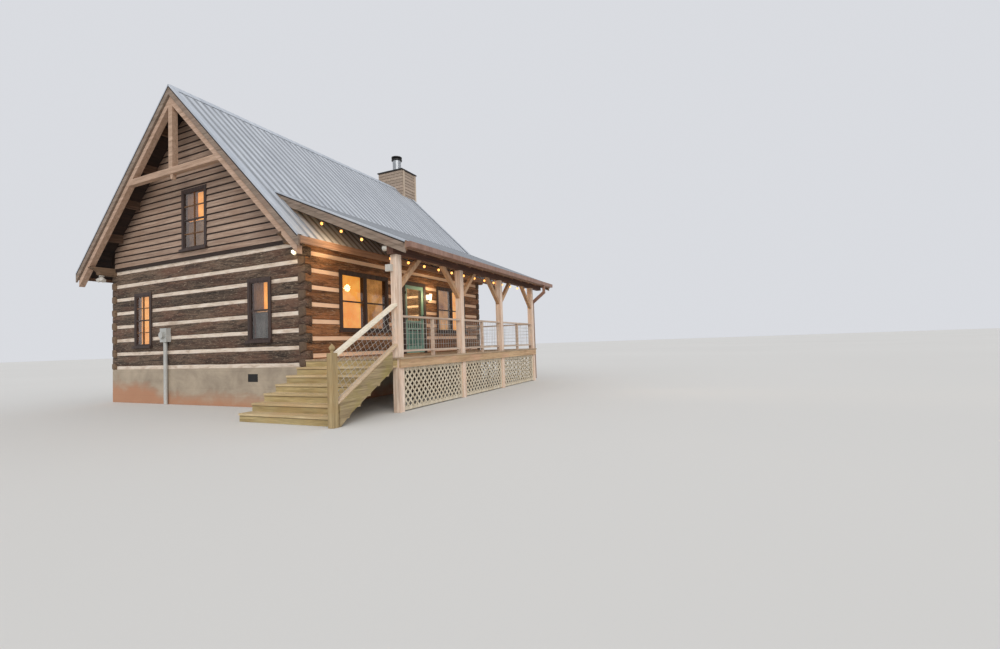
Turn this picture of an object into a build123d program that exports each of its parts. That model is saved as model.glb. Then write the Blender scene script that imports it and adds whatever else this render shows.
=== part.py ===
# Log cabin with a covered porch, built piece by piece in millimetres.
# The ridge runs along X, the porch side faces -Y, the near gable faces -X, and Z is up.
# Every piece is drawn in a house frame whose zero is the outer front corner of the near gable
# at the lowest ground, and is moved at the end so that the cabin stands centred.
import os
from build123d import *

# House body
house_length = 8050.0  # outer face to outer face along the ridge
house_width = 7340.0  # outer face to outer face across the gable
foundation_height = 893.0  # top of the rendered foundation wall
foundation_thickness = 250.0
floor_thickness = 157.0  # the porch deck and the inside floor end level
cut_past = 200.0  # how far a cutting block runs past the wall it cuts

# Logs
log_pitch = 373.0  # from one course to the next
log_height = 280.0
log_thickness = 180.0
log_end = 25.0  # how far a tail stands out past the crossing wall
notch_slope = 0.25  # rise of a half dovetail over its length
gable_courses = 7
long_courses = 8  # the last one is the plate log under the eave
chink_recess = 18.0  # how far the filling lies behind the face of the logs
bracket_reach = 560.0  # plate log end past the gable wall
bracket_curve = 170.0  # radius at the foot of the plate log end

# Main roof
roof_slope = 0.995
heel_height = 376.0  # roof surface above the plate log, over the outer face of the wall
sheet_drop = 20.0  # metal sheet, measured straight down
roof_drop = 85.0  # sheet and boards together, measured straight down
eave_reach = 513.0
near_rake_reach = 617.0
far_rake_reach = 780.0
barge_thickness = 40.0
barge_top = 10.0  # below the roof surface
barge_foot = 245.0
fly_foot = 450.0
fly_setback = 83.0  # foot of the fly rafter behind the edge of the eave
truss_thickness = 130.0
mitre_gap = 2.0  # left open where two sloping boards meet under the ridge
collar_below_ridge = 2158.0
collar_height = 150.0
king_width = 150.0
pendant_top = 110.0
pendant_tip = 50.0
pendant_drop = 130.0
pendant_setback = 20.0
lookout_count = 4
lookout_first = 500.0  # from the outer face of the wall to the first lookout
lookout_pitch = 800.0
lookout_width = 90.0
lookout_height = 120.0
fascia_thickness = 25.0
fascia_height = 150.0
ridge_cap_reach = 150.0
ridge_cap_rise = 12.0
siding_proud = 20.0  # siding face in front of the log face
siding_inner = 120.0
frieze_setback = 20.0
frieze_thickness = 140.0

# Porch
porch_depth = 2420.0
post_size = 150.0
middle_bay = 2250.0  # between the two middle posts
porch_short = 750.0  # the deck ends this far before the far gable
beam_height = 183.0
porch_roof_slope = 0.445
spring_y = 710.0  # where the porch roof leaves the main roof
porch_near_reach = 100.0  # porch roof past the near gable
porch_far_reach = 50.0
porch_overhang = 300.0
porch_roof_drop = 60.0
porch_rafter_foot = 190.0
porch_rafter_width = 45.0
porch_rafter_count = 14
porch_barge_thickness = 30.0
porch_barge_foot = 240.0
deck_thickness = 35.0
deck_nosing = 20.0
rim_height = 165.0
rim_thickness = 40.0
joist_count = 13
brace_rise = 680.0
brace_run = 740.0
brace_size = 90.0

# Railings and lattice
rail_rise = 820.0  # top rail above the deck
rail_thickness = 38.0
rail_width = 89.0
low_rail_rise = 140.0
low_rail_width = 64.0
mid_post_size = 64.0
wire_size = 5.0
wire_pitch = 300.0
skirt_low = 20.0
skirt_thickness = 18.0
skirt_strip = 40.0
skirt_pitch = 320.0
skirt_border = 60.0
skirt_setback = 30.0

# Gutter and spout
gutter_below_roof = 26.0
gutter_depth = 100.0
gutter_height = 105.0
gutter_wall = 4.0
porch_fascia_below = 5.0
spout_width = 60.0
spout_depth = 80.0
spout_gap = 25.0  # between the last post and the spout
spout_foot = 60.0  # open end above the ground
spout_neck = 255.0  # straight drop under the gutter
spout_slant = 260.0  # drop of the sloping length
spout_ease = 60.0  # keeps the sloping length as deep as the rest

# Stairs
going = 260.0
step_count = 6
tread_thickness = 38.0
tread_nosing = 18.0
riser_thickness = 20.0
stringer_thickness = 40.0
stair_inner_gap = 20.0
stringer_top_gap = 190.0  # outer stringer before the post
skirt_board_depth = 330.0
carriage_depth = 440.0
newel_size = 115.0
newel_height = 1190.0
finial_height = 150.0
finial_neck_height = 40.0
finial_neck_radius = 26.0
finial_bulb_radius = 48.0
finial_bulb_sink = 8.0
finial_tip_radius = 6.0
stair_rail_rise = 1040.0  # above the line of the nosings
stair_low_rail_rise = 265.0
stair_rail_width = 135.0
stair_low_rail_width = 100.0

# Windows
casing_width = 70.0
mullion_width = 50.0
casing_thickness = 25.0
casing_lap = 50.0
sill_reach = 80.0
sill_ear = 30.0
sill_thickness = 60.0
sash_width = 35.0
sash_depth = 40.0
sash_proud = 15.0  # sashes in front of the wall, inside the casing
glass_thickness = 6.0
window_height = 1470.0
gable_sill_rise = 400.0  # foot of the casing above the floor
small_window_width = 760.0
small_window_from_front = 1400.0  # centre of the casing
small_window_from_back = 1465.0
attic_window_width = 970.0
attic_window_height = 1570.0
attic_sill_rise = 213.0  # above the top log of the gable
double_window_width = 1780.0
near_window_shift = 150.0  # towards the door, from the middle of the wall beside it
far_window_shift = 215.0
long_sill_rise = 590.0

# Doorway and screen door
door_width = 1020.0
door_height = 2010.0
door_from_middle = -35.0
door_jamb = 50.0
door_gap = 8.0
door_foot_gap = 15.0
leaf_thickness = 35.0
stile_width = 100.0
bottom_rail_height = 200.0
leaf_low_rail_rise = 730.0  # top of the lower panels above the floor
leaf_mid_rail_rise = 940.0
leaf_rail_height = 45.0
spindle_size = 22.0
spindle_count = 6
panel_count = 3
panel_bar = 40.0
panel_recess = 10.0
screen_thickness = 6.0
hinge_radius = 8.0
hinge_length = 35.0
hinge_plate = 3.0
hinge_reach = 60.0
hinge_inset = 200.0
hinge_play = 0.4  # between the two barrels of a hinge
hinge_gap = 1.0  # between the barrels and the casing
handle_rise = 970.0
handle_length = 160.0
handle_width = 24.0
handle_reach = 45.0
handle_bar = 20.0

# Chimney
chase_offset = 205.0  # centre of the chase behind the ridge line
chase_width = 1150.0
chase_depth = 920.0
chase_above_ridge = 680.0
chase_cap_thickness = 45.0
chase_cap_reach = 45.0
flue_radius = 170.0
flue_height = 560.0
flue_cap_radius = 215.0
flue_cap_thickness = 45.0
flue_cap_gap = 55.0
flue_stem_share = 0.8  # stem of the cap against the flue

# Foundation vent
vent_low = 570.0
vent_height = 180.0
vent_width = 330.0
vent_from_front = 1660.0
vent_depth = 60.0
vent_setback = 4.0

# Electric meter
meter_from_back = 2525.0
meter_rise = 687.0  # above the foundation
meter_width = 260.0
meter_height = 350.0
meter_depth = 120.0
dial_radius = 85.0
dial_reach = 60.0
pipe_radius = 45.0

# Outside lamps
lamp_from_door = 125.0
lamp_rise = 1660.0  # above the floor
lamp_plate_width = 110.0
lamp_plate_height = 200.0
lamp_plate_thickness = 15.0
lamp_reach = 90.0
lamp_top_width = 130.0
lamp_body_height = 210.0
lamp_taper = 6.0  # degrees
lamp_arm = 24.0
flood_base_radius = 60.0
flood_base_thickness = 25.0
flood_stem = 60.0
flood_stem_width = 30.0
flood_head_radius = 55.0
flood_head_length = 120.0
flood_tilt = 55.0  # degrees from straight down
flood_front_reach = 110.0  # from the gable wall
flood_back_reach = 300.0
sensor_height = 130.0
sensor_width = 130.0
sensor_depth = 80.0
sensor_drop = 195.0  # top of the sensor box under the beam
spot_radius = 55.0
spot_length = 110.0

# Levels and places that follow from the sizes above
deck_height = foundation_height + floor_thickness
chink_height = log_pitch - log_height
first_gable = foundation_height + chink_height + log_height / 2
first_long = first_gable - log_pitch / 2
plate_top = first_long + (long_courses - 1) * log_pitch + log_height / 2
gable_top = first_gable + gable_courses * log_pitch - log_height / 2
middle = house_width / 2
corner_mid = log_thickness / 2
ridge_height = plate_top + heel_height + roof_slope * middle
rail_top = deck_height + rail_rise
low_rail_top = deck_height + low_rail_rise
porch_roof_near = -porch_near_reach
porch_roof_far = house_length + porch_far_reach
porch_roof_front = -porch_depth - porch_overhang
porch_end_near = porch_roof_near - porch_barge_thickness
porch_end_far = porch_roof_far + porch_barge_thickness
deck_end = house_length - porch_short
last_post = deck_end - post_size
outer_bay = (last_post - middle_bay) / 2
post_places = [0.0, outer_bay, outer_bay + middle_bay, last_post]
post_back = -porch_depth + post_size
rail_mid = -porch_depth + post_size / 2
riser = deck_height / (step_count + 1)
door_left = house_length / 2 + door_from_middle - door_width / 2
door_right = door_left + door_width
door_head = deck_height + door_height
gable_sill = deck_height + gable_sill_rise
long_sill = deck_height + long_sill_rise
attic_sill = gable_top + attic_sill_rise
small_window_places = [small_window_from_front, house_width - small_window_from_back]
near_window = door_left / 2 + near_window_shift
far_window = (door_right + house_length) / 2 - far_window_shift
double_window_places = [near_window, far_window]
chase_height = ridge_height + chase_above_ridge
chase_mid_x = house_length + chase_depth / 2
chase_mid_y = middle + chase_offset


def box(x0, x1, y0, y1, z0, z1):
    # A block between two corners.
    block = Box(x1 - x0, y1 - y0, z1 - z0, align=(Align.MIN, Align.MIN, Align.MIN))
    return Pos(x0, y0, z0) * block


def along_x(points, x0, x1):
    # A profile of (y, z) points drawn out along X.
    corners = [(x0, y, z) for y, z in points]
    face = make_face(Polyline(*corners, close=True))
    return extrude(face, amount=x1 - x0, dir=(1, 0, 0))


def along_y(points, y0, y1):
    # A profile of (x, z) points drawn out along Y.
    corners = [(x, y0, z) for x, z in points]
    face = make_face(Polyline(*corners, close=True))
    return extrude(face, amount=y1 - y0, dir=(0, 1, 0))


def mirror_long(shape):
    # The same piece at the other end of the house.
    return mirror(shape, about=Plane.YZ.offset(house_length / 2))


def mirror_across(shape):
    # The same piece on the other long side of the house.
    return mirror(shape, about=Plane.XZ.offset(-house_width / 2))


def group(shapes):
    # Several solids that do not touch, kept in one node.
    solids = []
    for shape in shapes:
        solids.extend(shape.solids())
    return Compound(solids)


def roof_top(y):
    # Height of the main roof surface on the front slope.
    return ridge_height - roof_slope * (middle - y)


def porch_top(y):
    # Height of the porch roof surface.
    return roof_top(spring_y) + porch_roof_slope * (y - spring_y)


def porch_meets(drop):
    # Where a line this far under the porch roof meets the boards of the main roof.
    return spring_y - (drop - sheet_drop) / (roof_slope - porch_roof_slope)


beam_high = porch_top(rail_mid) - porch_rafter_foot
beam_low = beam_high - beam_height
gutter_top = porch_top(porch_roof_front) - gutter_below_roof
gutter_low = gutter_top - gutter_height


def gable_tail(centre):
    # The notched end of a gable log at the front corner: its top rises towards its own end,
    # its foot follows the top of the long log below it.
    low = centre - log_pitch / 4
    high = centre + log_pitch / 4
    rise_out = notch_slope * (corner_mid + log_end)
    rise_in = notch_slope * corner_mid
    side = [(-log_end, low - log_pitch), (log_thickness, low - log_pitch)]
    side += [(log_thickness, high - rise_in), (-log_end, high + rise_out)]
    end = [(0.0, low + rise_in), (log_thickness, low - rise_in)]
    end += [(log_thickness, high + log_pitch), (0.0, high + log_pitch)]
    return along_x(side, 0.0, log_thickness) & along_y(end, -log_end, log_thickness)


def long_tail(centre):
    # The notched end of a long log at the near corner.
    low = centre - log_pitch / 4
    high = centre + log_pitch / 4
    rise_out = notch_slope * (corner_mid + log_end)
    rise_in = notch_slope * corner_mid
    side = [(-log_end, low - log_pitch), (log_thickness, low - log_pitch)]
    side += [(log_thickness, high - rise_in), (-log_end, high + rise_out)]
    end = [(0.0, low + rise_in), (log_thickness, low - rise_in)]
    end += [(log_thickness, high + log_pitch), (0.0, high + log_pitch)]
    tail = along_y(side, 0.0, log_thickness) & along_x(end, -log_end, log_thickness)
    floor_cut = box(-house_width, house_width, -house_width, house_width, 0.0, foundation_height)
    return tail - floor_cut


def gable_log(course):
    # One log of the near gable with a half dovetail at both ends.
    centre = first_gable + course * log_pitch
    low = centre - log_height / 2
    body = box(0.0, log_thickness, log_thickness, house_width - log_thickness, low, low + log_height)
    tail = gable_tail(centre)
    return body + tail + mirror_across(tail)


def plate_log(centre):
    # The top long log, drawn out past both gables to carry the fly rafters.
    low = centre - log_height / 2
    high = centre + log_height / 2
    rise = notch_slope * corner_mid
    seat = centre - log_pitch / 4
    body = box(log_thickness, house_length - log_thickness, 0.0, log_thickness, low, high)
    end = [(0.0, seat + rise), (log_thickness, seat - rise), (log_thickness, high), (0.0, high)]
    over_corner = along_x(end, 0.0, log_thickness)
    foot = seat + rise
    bracket = box(-bracket_reach, 0.0, 0.0, log_thickness, foot, high)
    round_cut = Pos(-bracket_reach, corner_mid, foot) * Rot(90, 0, 0)
    round_cut = round_cut * Cylinder(bracket_curve, log_thickness * 2)
    over_corner = over_corner + (bracket - round_cut)
    return body + over_corner + mirror_long(over_corner)


def long_log(course):
    # One log of the front wall with a half dovetail at both ends.
    centre = first_long + course * log_pitch
    if course == long_courses - 1:
        return plate_log(centre)
    low = max(centre - log_height / 2, foundation_height)
    high = centre + log_height / 2
    body = box(log_thickness, house_length - log_thickness, 0.0, log_thickness, low, high)
    tail = long_tail(centre)
    return body + tail + mirror_long(tail)


def gable_chinks():
    # The filling between the courses of the near gable.
    bands = []
    outer = chink_recess
    inner = log_thickness - chink_recess
    for course in range(gable_courses + 1):
        low = foundation_height + course * log_pitch
        band = box(outer, inner, log_thickness, house_width - log_thickness, low, low + chink_height)
        bands.append(band)
    return bands


def long_chinks():
    # The filling between the courses of the front wall.
    bands = []
    outer = chink_recess
    inner = log_thickness - chink_recess
    for course in range(long_courses - 1):
        low = first_long + course * log_pitch + log_height / 2
        band = box(log_thickness, house_length - log_thickness, outer, inner, low, low + chink_height)
        bands.append(band)
    return bands


def hole_in_long(centre_x, width, low, height):
    # The opening a window needs in a long wall.
    half = width / 2 - casing_lap
    foot = low + casing_lap
    head = low + height - casing_lap
    return box(centre_x - half, centre_x + half, -cut_past, log_thickness + cut_past, foot, head)


def hole_in_gable(centre_y, width, low, height):
    # The opening a window needs in a gable wall.
    half = width / 2 - casing_lap
    foot = low + casing_lap
    head = low + height - casing_lap
    return box(-cut_past, log_thickness + cut_past, centre_y - half, centre_y + half, foot, head)


def window_frame(width, height, bays, wall_depth, face):
    # Casing, sill, jambs and double hung sashes for a window in a wall that faces -Y.
    # The window is centred on X with its foot at zero, and face is the plane of the wall.
    half_in = width / 2 - casing_width
    head = height - casing_width
    lap = width / 2 - casing_lap
    casing = box(-width / 2, width / 2, face - casing_thickness, face, 0.0, height)
    sill_half = width / 2 + sill_ear
    sill = box(-sill_half, sill_half, face - sill_reach, face, 0.0, sill_thickness)
    jamb = box(-lap, lap, face, wall_depth, casing_lap, height - casing_lap)
    clear = box(-half_in, half_in, face - cut_past, wall_depth + cut_past, casing_width, head)
    frame = (casing + sill + jamb) - clear
    glass = []
    bay_width = (2 * half_in - (bays - 1) * mullion_width) / bays
    sash_front = face - sash_proud
    sash_back = sash_front + sash_depth
    glass_front = sash_front + sash_depth / 2
    meeting_low = height / 2 - sash_width / 2
    meeting_high = height / 2 + sash_width / 2
    for bay in range(bays):
        left = -half_in + bay * (bay_width + mullion_width)
        right = left + bay_width
        pane_left = left + sash_width
        pane_right = right - sash_width
        if bay > 0:
            mullion = box(left - mullion_width, left, face - casing_thickness, wall_depth, casing_width, head)
            frame = frame + mullion
        sashes = box(left, right, sash_front, sash_back, casing_width, head)
        lights = [(casing_width + sash_width, meeting_low), (meeting_high, head - sash_width)]
        for pane_low, pane_high in lights:
            hole_front = sash_front - cut_past
            sashes = sashes - box(pane_left, pane_right, hole_front, sash_back + cut_past, pane_low, pane_high)
            pane = box(pane_left, pane_right, glass_front, glass_front + glass_thickness, pane_low, pane_high)
            glass.append(pane)
        frame = frame + sashes
    return frame, glass


def holed_sheet(corners, holes, thickness):
    # A flat sheet with holes, drawn in the XZ plane and thickened along Y.
    outer = Wire.make_polygon([(x, 0.0, z) for x, z in corners])
    inner = [Wire.make_polygon([(x, 0.0, z) for x, z in hole]) for hole in holes]
    sheet = Face(outer, inner)
    return extrude(sheet, amount=thickness, dir=(0, 1, 0))


def clip(points, a, b, c):
    # The part of a polygon where a x + b z is not more than c.
    kept = []
    for index in range(len(points)):
        here = points[index]
        ahead = points[(index + 1) % len(points)]
        d_here = a * here[0] + b * here[1] - c
        d_ahead = a * ahead[0] + b * ahead[1] - c
        if d_here <= 0:
            kept.append(here)
        if d_here * d_ahead < 0:
            part = d_here / (d_here - d_ahead)
            kept.append((here[0] + part * (ahead[0] - here[0]), here[1] + part * (ahead[1] - here[1])))
    return kept


def area(points):
    # Area of a flat polygon.
    total = 0.0
    for index in range(len(points)):
        here = points[index]
        ahead = points[(index + 1) % len(points)]
        total += here[0] * ahead[1] - ahead[0] * here[1]
    return abs(total) / 2


def lattice_panel(width, height):
    # A framed panel of diagonal strips with its lower left corner at zero.
    corners = [(0.0, 0.0), (width, 0.0), (width, height), (0.0, height)]
    step = skirt_pitch * 2 ** 0.5
    half_hole = (skirt_pitch - skirt_strip) / 2 * 2 ** 0.5
    edges = [(-1, 0, -skirt_border), (1, 0, width - skirt_border)]
    edges += [(0, -1, -skirt_border), (0, 1, height - skirt_border)]
    holes = []
    columns = int(width / step) + 2
    rows = int(height / step) + 2
    for row in range(-1, 2 * rows):
        for column in range(-1, columns):
            x = column * step + (row % 2) * step / 2 + step / 4
            z = row * step / 2 + step / 4
            hole = [(x, z - half_hole), (x + half_hole, z), (x, z + half_hole), (x - half_hole, z)]
            for a, b, c in edges:
                hole = clip(hole, a, b, c) if len(hole) > 2 else hole
            if len(hole) > 2 and area(hole) > half_hole * half_hole / 4:
                holes.append(hole)
    return holed_sheet(corners, holes, skirt_thickness)


def wire_panel(width, height, lean):
    # A panel of crossing wires; lean is its rise over its run, for the stair.
    columns = max(2, round(width / wire_pitch))
    rows = max(2, round(height / wire_pitch))
    cell_x = width / columns
    cell_z = height / rows
    corners = [(0.0, 0.0), (width, lean * width), (width, lean * width + height), (0.0, height)]
    holes = []
    half = wire_size / 2
    for column in range(columns):
        for row in range(rows):
            x0 = column * cell_x + (wire_size if column == 0 else half)
            x1 = (column + 1) * cell_x - (wire_size if column == columns - 1 else half)
            z0 = row * cell_z + (wire_size if row == 0 else half)
            z1 = (row + 1) * cell_z - (wire_size if row == rows - 1 else half)
            hole = [(x0, z0 + lean * x0), (x1, z0 + lean * x1), (x1, z1 + lean * x1), (x0, z1 + lean * x0)]
            holes.append(hole)
    return holed_sheet(corners, holes, wire_size)


parts = {}

# Foundation
parts["long_foundations"] = group([
    box(0.0, house_length, 0.0, foundation_thickness, 0.0, foundation_height),
    box(0.0, house_length, house_width - foundation_thickness, house_width, 0.0, foundation_height),
])
vent_left = vent_from_front - vent_width / 2
vent_right = vent_from_front + vent_width / 2
vent_high = vent_low + vent_height
vent_cut = box(-cut_past, vent_depth, vent_left, vent_right, vent_low, vent_high)
end_foundation = box(0.0, foundation_thickness, foundation_thickness, house_width - foundation_thickness,
                     0.0, foundation_height)
near_foundation = end_foundation - vent_cut
parts["end_foundations"] = group([near_foundation, mirror_long(near_foundation)])
vent_cover = box(vent_setback, vent_depth, vent_left, vent_right, vent_low, vent_high)
parts["foundation_vents"] = group([vent_cover, mirror_long(vent_cover)])
parts["floor"] = box(log_thickness, house_length - log_thickness, log_thickness, house_width - log_thickness,
                     foundation_height, deck_height)

# Openings in the walls
small_holes = [hole_in_gable(y, small_window_width, gable_sill, window_height) for y in small_window_places]
double_holes = [hole_in_long(x, double_window_width, long_sill, window_height) for x in double_window_places]
door_hole = box(door_left, door_right, -cut_past, log_thickness + cut_past, deck_height, door_head)

# Log walls and their filling
near_logs = [gable_log(course) for course in range(gable_courses)]
near_bands = gable_chinks()
for hole in small_holes:
    near_logs = [log - hole for log in near_logs]
    near_bands = [band - hole for band in near_bands]
far_bands = [mirror_long(band) for band in near_bands]
parts["near_gable_logs"] = group(near_logs)
parts["far_gable_logs"] = group([mirror_long(log) for log in near_logs])
back_logs = [mirror_across(long_log(course)) for course in range(long_courses)]
back_bands = [mirror_across(band) for band in long_chinks()]
front_logs = [long_log(course) for course in range(long_courses)]
front_bands = long_chinks()
for hole in double_holes:
    front_logs = [log - hole for log in front_logs]
    front_bands = [band - hole for band in front_bands]
    back_hole = mirror_across(hole)
    back_logs = [log - back_hole for log in back_logs]
    back_bands = [band - back_hole for band in back_bands]
front_bands = [band - door_hole for band in front_bands]
parts["front_wall_logs"] = group([log - door_hole for log in front_logs])
parts["back_wall_logs"] = group(back_logs)
parts["chinking"] = group(near_bands + far_bands + front_bands + back_bands)

# Gable walls above the logs, beside the chimney chase at the far end
chase = box(house_length, house_length + chase_depth, chase_mid_y - chase_width / 2,
            chase_mid_y + chase_width / 2, 0.0, chase_height)
gable_outline = [(log_thickness, gable_top), (house_width - log_thickness, gable_top)]
gable_outline += [(house_width - log_thickness, plate_top), (house_width, plate_top)]
gable_outline += [(house_width, roof_top(0.0) - roof_drop), (middle, ridge_height - roof_drop)]
gable_outline += [(0.0, roof_top(0.0) - roof_drop), (0.0, plate_top), (log_thickness, plate_top)]
gable_wall = along_x(gable_outline, -siding_proud, siding_inner)
attic_hole = hole_in_gable(middle, attic_window_width, attic_sill, attic_window_height)
parts["gable_siding"] = group([gable_wall - attic_hole, mirror_long(gable_wall) - chase])

# Windows
frames = []
panes = []
small_frame, small_glass = window_frame(small_window_width, window_height, 1, log_thickness, 0.0)
for y in small_window_places:
    place = Pos(0, y, gable_sill) * Rot(0, 0, -90)
    frames += [place * small_frame, mirror_long(place * small_frame)]
    for pane in small_glass:
        panes += [place * pane, mirror_long(place * pane)]
attic_frame, attic_glass = window_frame(attic_window_width, attic_window_height, 1, siding_inner,
                                        -siding_proud)
attic_place = Pos(0, middle, attic_sill) * Rot(0, 0, -90)
frames.append(attic_place * attic_frame)
panes += [attic_place * pane for pane in attic_glass]
double_frame, double_glass = window_frame(double_window_width, window_height, 2, log_thickness, 0.0)
for x in double_window_places:
    place = Pos(x, 0, long_sill)
    frames += [place * double_frame, mirror_across(place * double_frame)]
    for pane in double_glass:
        panes += [place * pane, mirror_across(place * pane)]
parts["window_frames"] = group(frames)
parts["window_glass"] = group(panes)

# Doorway
jamb_left = door_left + door_jamb
jamb_right = door_right - door_jamb
jamb_top = door_head - door_jamb
door_frame = box(door_left, door_right, 0.0, log_thickness, deck_height, door_head)
door_frame = door_frame + box(door_left - casing_lap, door_right + casing_lap, -casing_thickness, 0.0,
                              deck_height, door_head + casing_lap)
door_clear = box(jamb_left, jamb_right, -cut_past, log_thickness + cut_past, 0.0, jamb_top)
parts["door_frame"] = door_frame - door_clear

# Screen door leaf with spindles over its lower panels
leaf_left = jamb_left + door_gap
leaf_right = jamb_right - door_gap
leaf_low = deck_height + door_foot_gap
leaf_high = jamb_top - door_gap
leaf_mid = leaf_thickness / 2
leaf_low_rail_top = deck_height + leaf_low_rail_rise
leaf_mid_rail_top = deck_height + leaf_mid_rail_rise
field_left = leaf_left + stile_width
field_right = leaf_right - stile_width
spindle_high = leaf_mid_rail_top - leaf_rail_height
screen_high = leaf_high - stile_width
leaf = box(leaf_left, leaf_right, 0.0, leaf_thickness, leaf_low, leaf_high)
leaf = leaf - box(field_left, field_right, -cut_past, cut_past, leaf_mid_rail_top, screen_high)
leaf = leaf - box(field_left, field_right, -cut_past, cut_past, leaf_low_rail_top, spindle_high)
spindle_step = (field_right - field_left) / (spindle_count + 1)
for index in range(spindle_count):
    x = field_left + (index + 1) * spindle_step
    half = spindle_size / 2
    leaf = leaf + box(x - half, x + half, leaf_mid - half, leaf_mid + half, leaf_low_rail_top, spindle_high)
panel_step = (field_right - field_left) / panel_count
for index in range(panel_count):
    x0 = field_left + index * panel_step + panel_bar / 2
    x1 = x0 + panel_step - panel_bar
    leaf = leaf - box(x0, x1, -cut_past, panel_recess, leaf_low + bottom_rail_height,
                      leaf_low_rail_top - leaf_rail_height)
parts["screen_door"] = leaf
parts["door_screen"] = box(field_left, field_right, leaf_mid - screen_thickness / 2,
                           leaf_mid + screen_thickness / 2, leaf_mid_rail_top, screen_high)

# Door handle and hinges
handle_x = leaf_right - stile_width / 2
handle_low = deck_height + handle_rise
handle_high = handle_low + handle_length
handle = box(handle_x - handle_width / 2, handle_x + handle_width / 2, -handle_reach,
             -handle_reach + handle_bar, handle_low, handle_high)
for foot in [handle_low, handle_high - handle_bar]:
    handle = handle + box(handle_x - handle_bar / 2, handle_x + handle_bar / 2,
                          -handle_reach + handle_bar / 2, 0.0, foot, foot + handle_bar)
hinge_x = jamb_left + door_gap / 2
hinge_y = -casing_thickness - hinge_radius - hinge_gap
hinge_bottom = deck_height + hinge_inset
hinge_top = jamb_top - hinge_inset - 2 * hinge_length
frame_hinges = []
leaf_hinges = []
for low in [hinge_bottom, (hinge_bottom + hinge_top) / 2, hinge_top]:
    barrel = Pos(hinge_x, hinge_y, low + hinge_length / 2) * Cylinder(hinge_radius, hinge_length)
    plate = box(hinge_x - hinge_reach, hinge_x, -casing_thickness - hinge_plate, -casing_thickness,
                low, low + hinge_length)
    frame_hinges.append(barrel + plate)
    upper = low + hinge_length + hinge_play
    barrel = Pos(hinge_x, hinge_y, upper + hinge_length / 2) * Cylinder(hinge_radius, hinge_length)
    web = box(leaf_left, leaf_left + hinge_plate, hinge_y, 0.0, upper, upper + hinge_length)
    plate = box(leaf_left, leaf_left + hinge_reach, -hinge_plate, 0.0, upper, upper + hinge_length)
    leaf_hinges.append(barrel + web + plate)
parts["frame_hinges"] = group(frame_hinges)
parts["door_hardware"] = group(leaf_hinges + [handle])

# Main roof: boards, with metal sheets over them where the porch roof does not cover them
slab_near = barge_thickness - near_rake_reach
slab_far = house_length + far_rake_reach - barge_thickness


def slope_slab(top_drop, foot_drop):
    # A layer of the front slope between two depths under the roof surface.
    outline = [(-eave_reach, roof_top(-eave_reach) - top_drop), (middle, ridge_height - top_drop)]
    outline += [(middle, ridge_height - foot_drop), (-eave_reach, roof_top(-eave_reach) - foot_drop)]
    return along_x(outline, slab_near, slab_far)


boards = slope_slab(sheet_drop, roof_drop)
parts["front_roof"] = boards - chase
parts["back_roof"] = mirror_across(boards) - chase
sheet = slope_slab(0.0, sheet_drop)
covered = box(porch_end_near, porch_end_far, -eave_reach - cut_past, spring_y, 0.0, ridge_height)
front_sheet = sheet - covered - chase
back_sheet = mirror_across(sheet) - chase
cap_drop = roof_slope * ridge_cap_reach
cap_outline = [(middle - ridge_cap_reach, ridge_height - cap_drop)]
cap_outline += [(middle, ridge_height), (middle + ridge_cap_reach, ridge_height - cap_drop)]
cap_outline += [(middle + ridge_cap_reach, ridge_height - cap_drop + ridge_cap_rise)]
cap_outline += [(middle, ridge_height + ridge_cap_rise)]
cap_outline += [(middle - ridge_cap_reach, ridge_height - cap_drop + ridge_cap_rise)]
parts["ridge_cap"] = along_x(cap_outline, slab_near, slab_far) - chase
frieze_back = frieze_setback + frieze_thickness
frieze_outline = [(frieze_setback, plate_top), (frieze_back, plate_top)]
frieze_outline += [(frieze_back, roof_top(frieze_back) - roof_drop)]
frieze_outline += [(frieze_setback, roof_top(frieze_setback) - roof_drop)]
frieze = along_x(frieze_outline, siding_inner, house_length - siding_inner)
parts["eave_friezes"] = group([frieze, mirror_across(frieze)])


def slope_board(top_drop, foot_drop, y_low, x0, x1):
    # A straight board that follows the front slope between two depths under its surface.
    y_high = middle - mitre_gap / 2
    outline = [(y_low, roof_top(y_low) - top_drop), (y_high, roof_top(y_high) - top_drop)]
    outline += [(y_high, roof_top(y_high) - foot_drop), (y_low, roof_top(y_low) - foot_drop)]
    return along_x(outline, x0, x1)


# Barge boards, and the open truss that carries the rake
barge_near = slope_board(barge_top, barge_foot, -eave_reach, -near_rake_reach, slab_near)
barge_far = Pos(slab_far + near_rake_reach, 0, 0) * barge_near
barges = [barge_near, barge_far - chase, mirror_across(barge_near), mirror_across(barge_far) - chase]
truss_back = slab_near + truss_thickness
truss_shift = Pos(slab_far - truss_back, 0, 0)
plate_clear = box(-house_length, house_length * 2, 0.0, log_thickness, 0.0, plate_top)
fly_near = slope_board(roof_drop, fly_foot, -eave_reach + fly_setback, slab_near, truss_back) - plate_clear
fly_far = truss_shift * fly_near - chase
parts["fly_rafters"] = group([fly_near, fly_far, mirror_across(fly_near), mirror_across(fly_far) - chase])


def fly_line(z):
    # Where the foot of the front fly rafter is at this height.
    return middle - (ridge_height - fly_foot - z) / roof_slope


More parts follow.
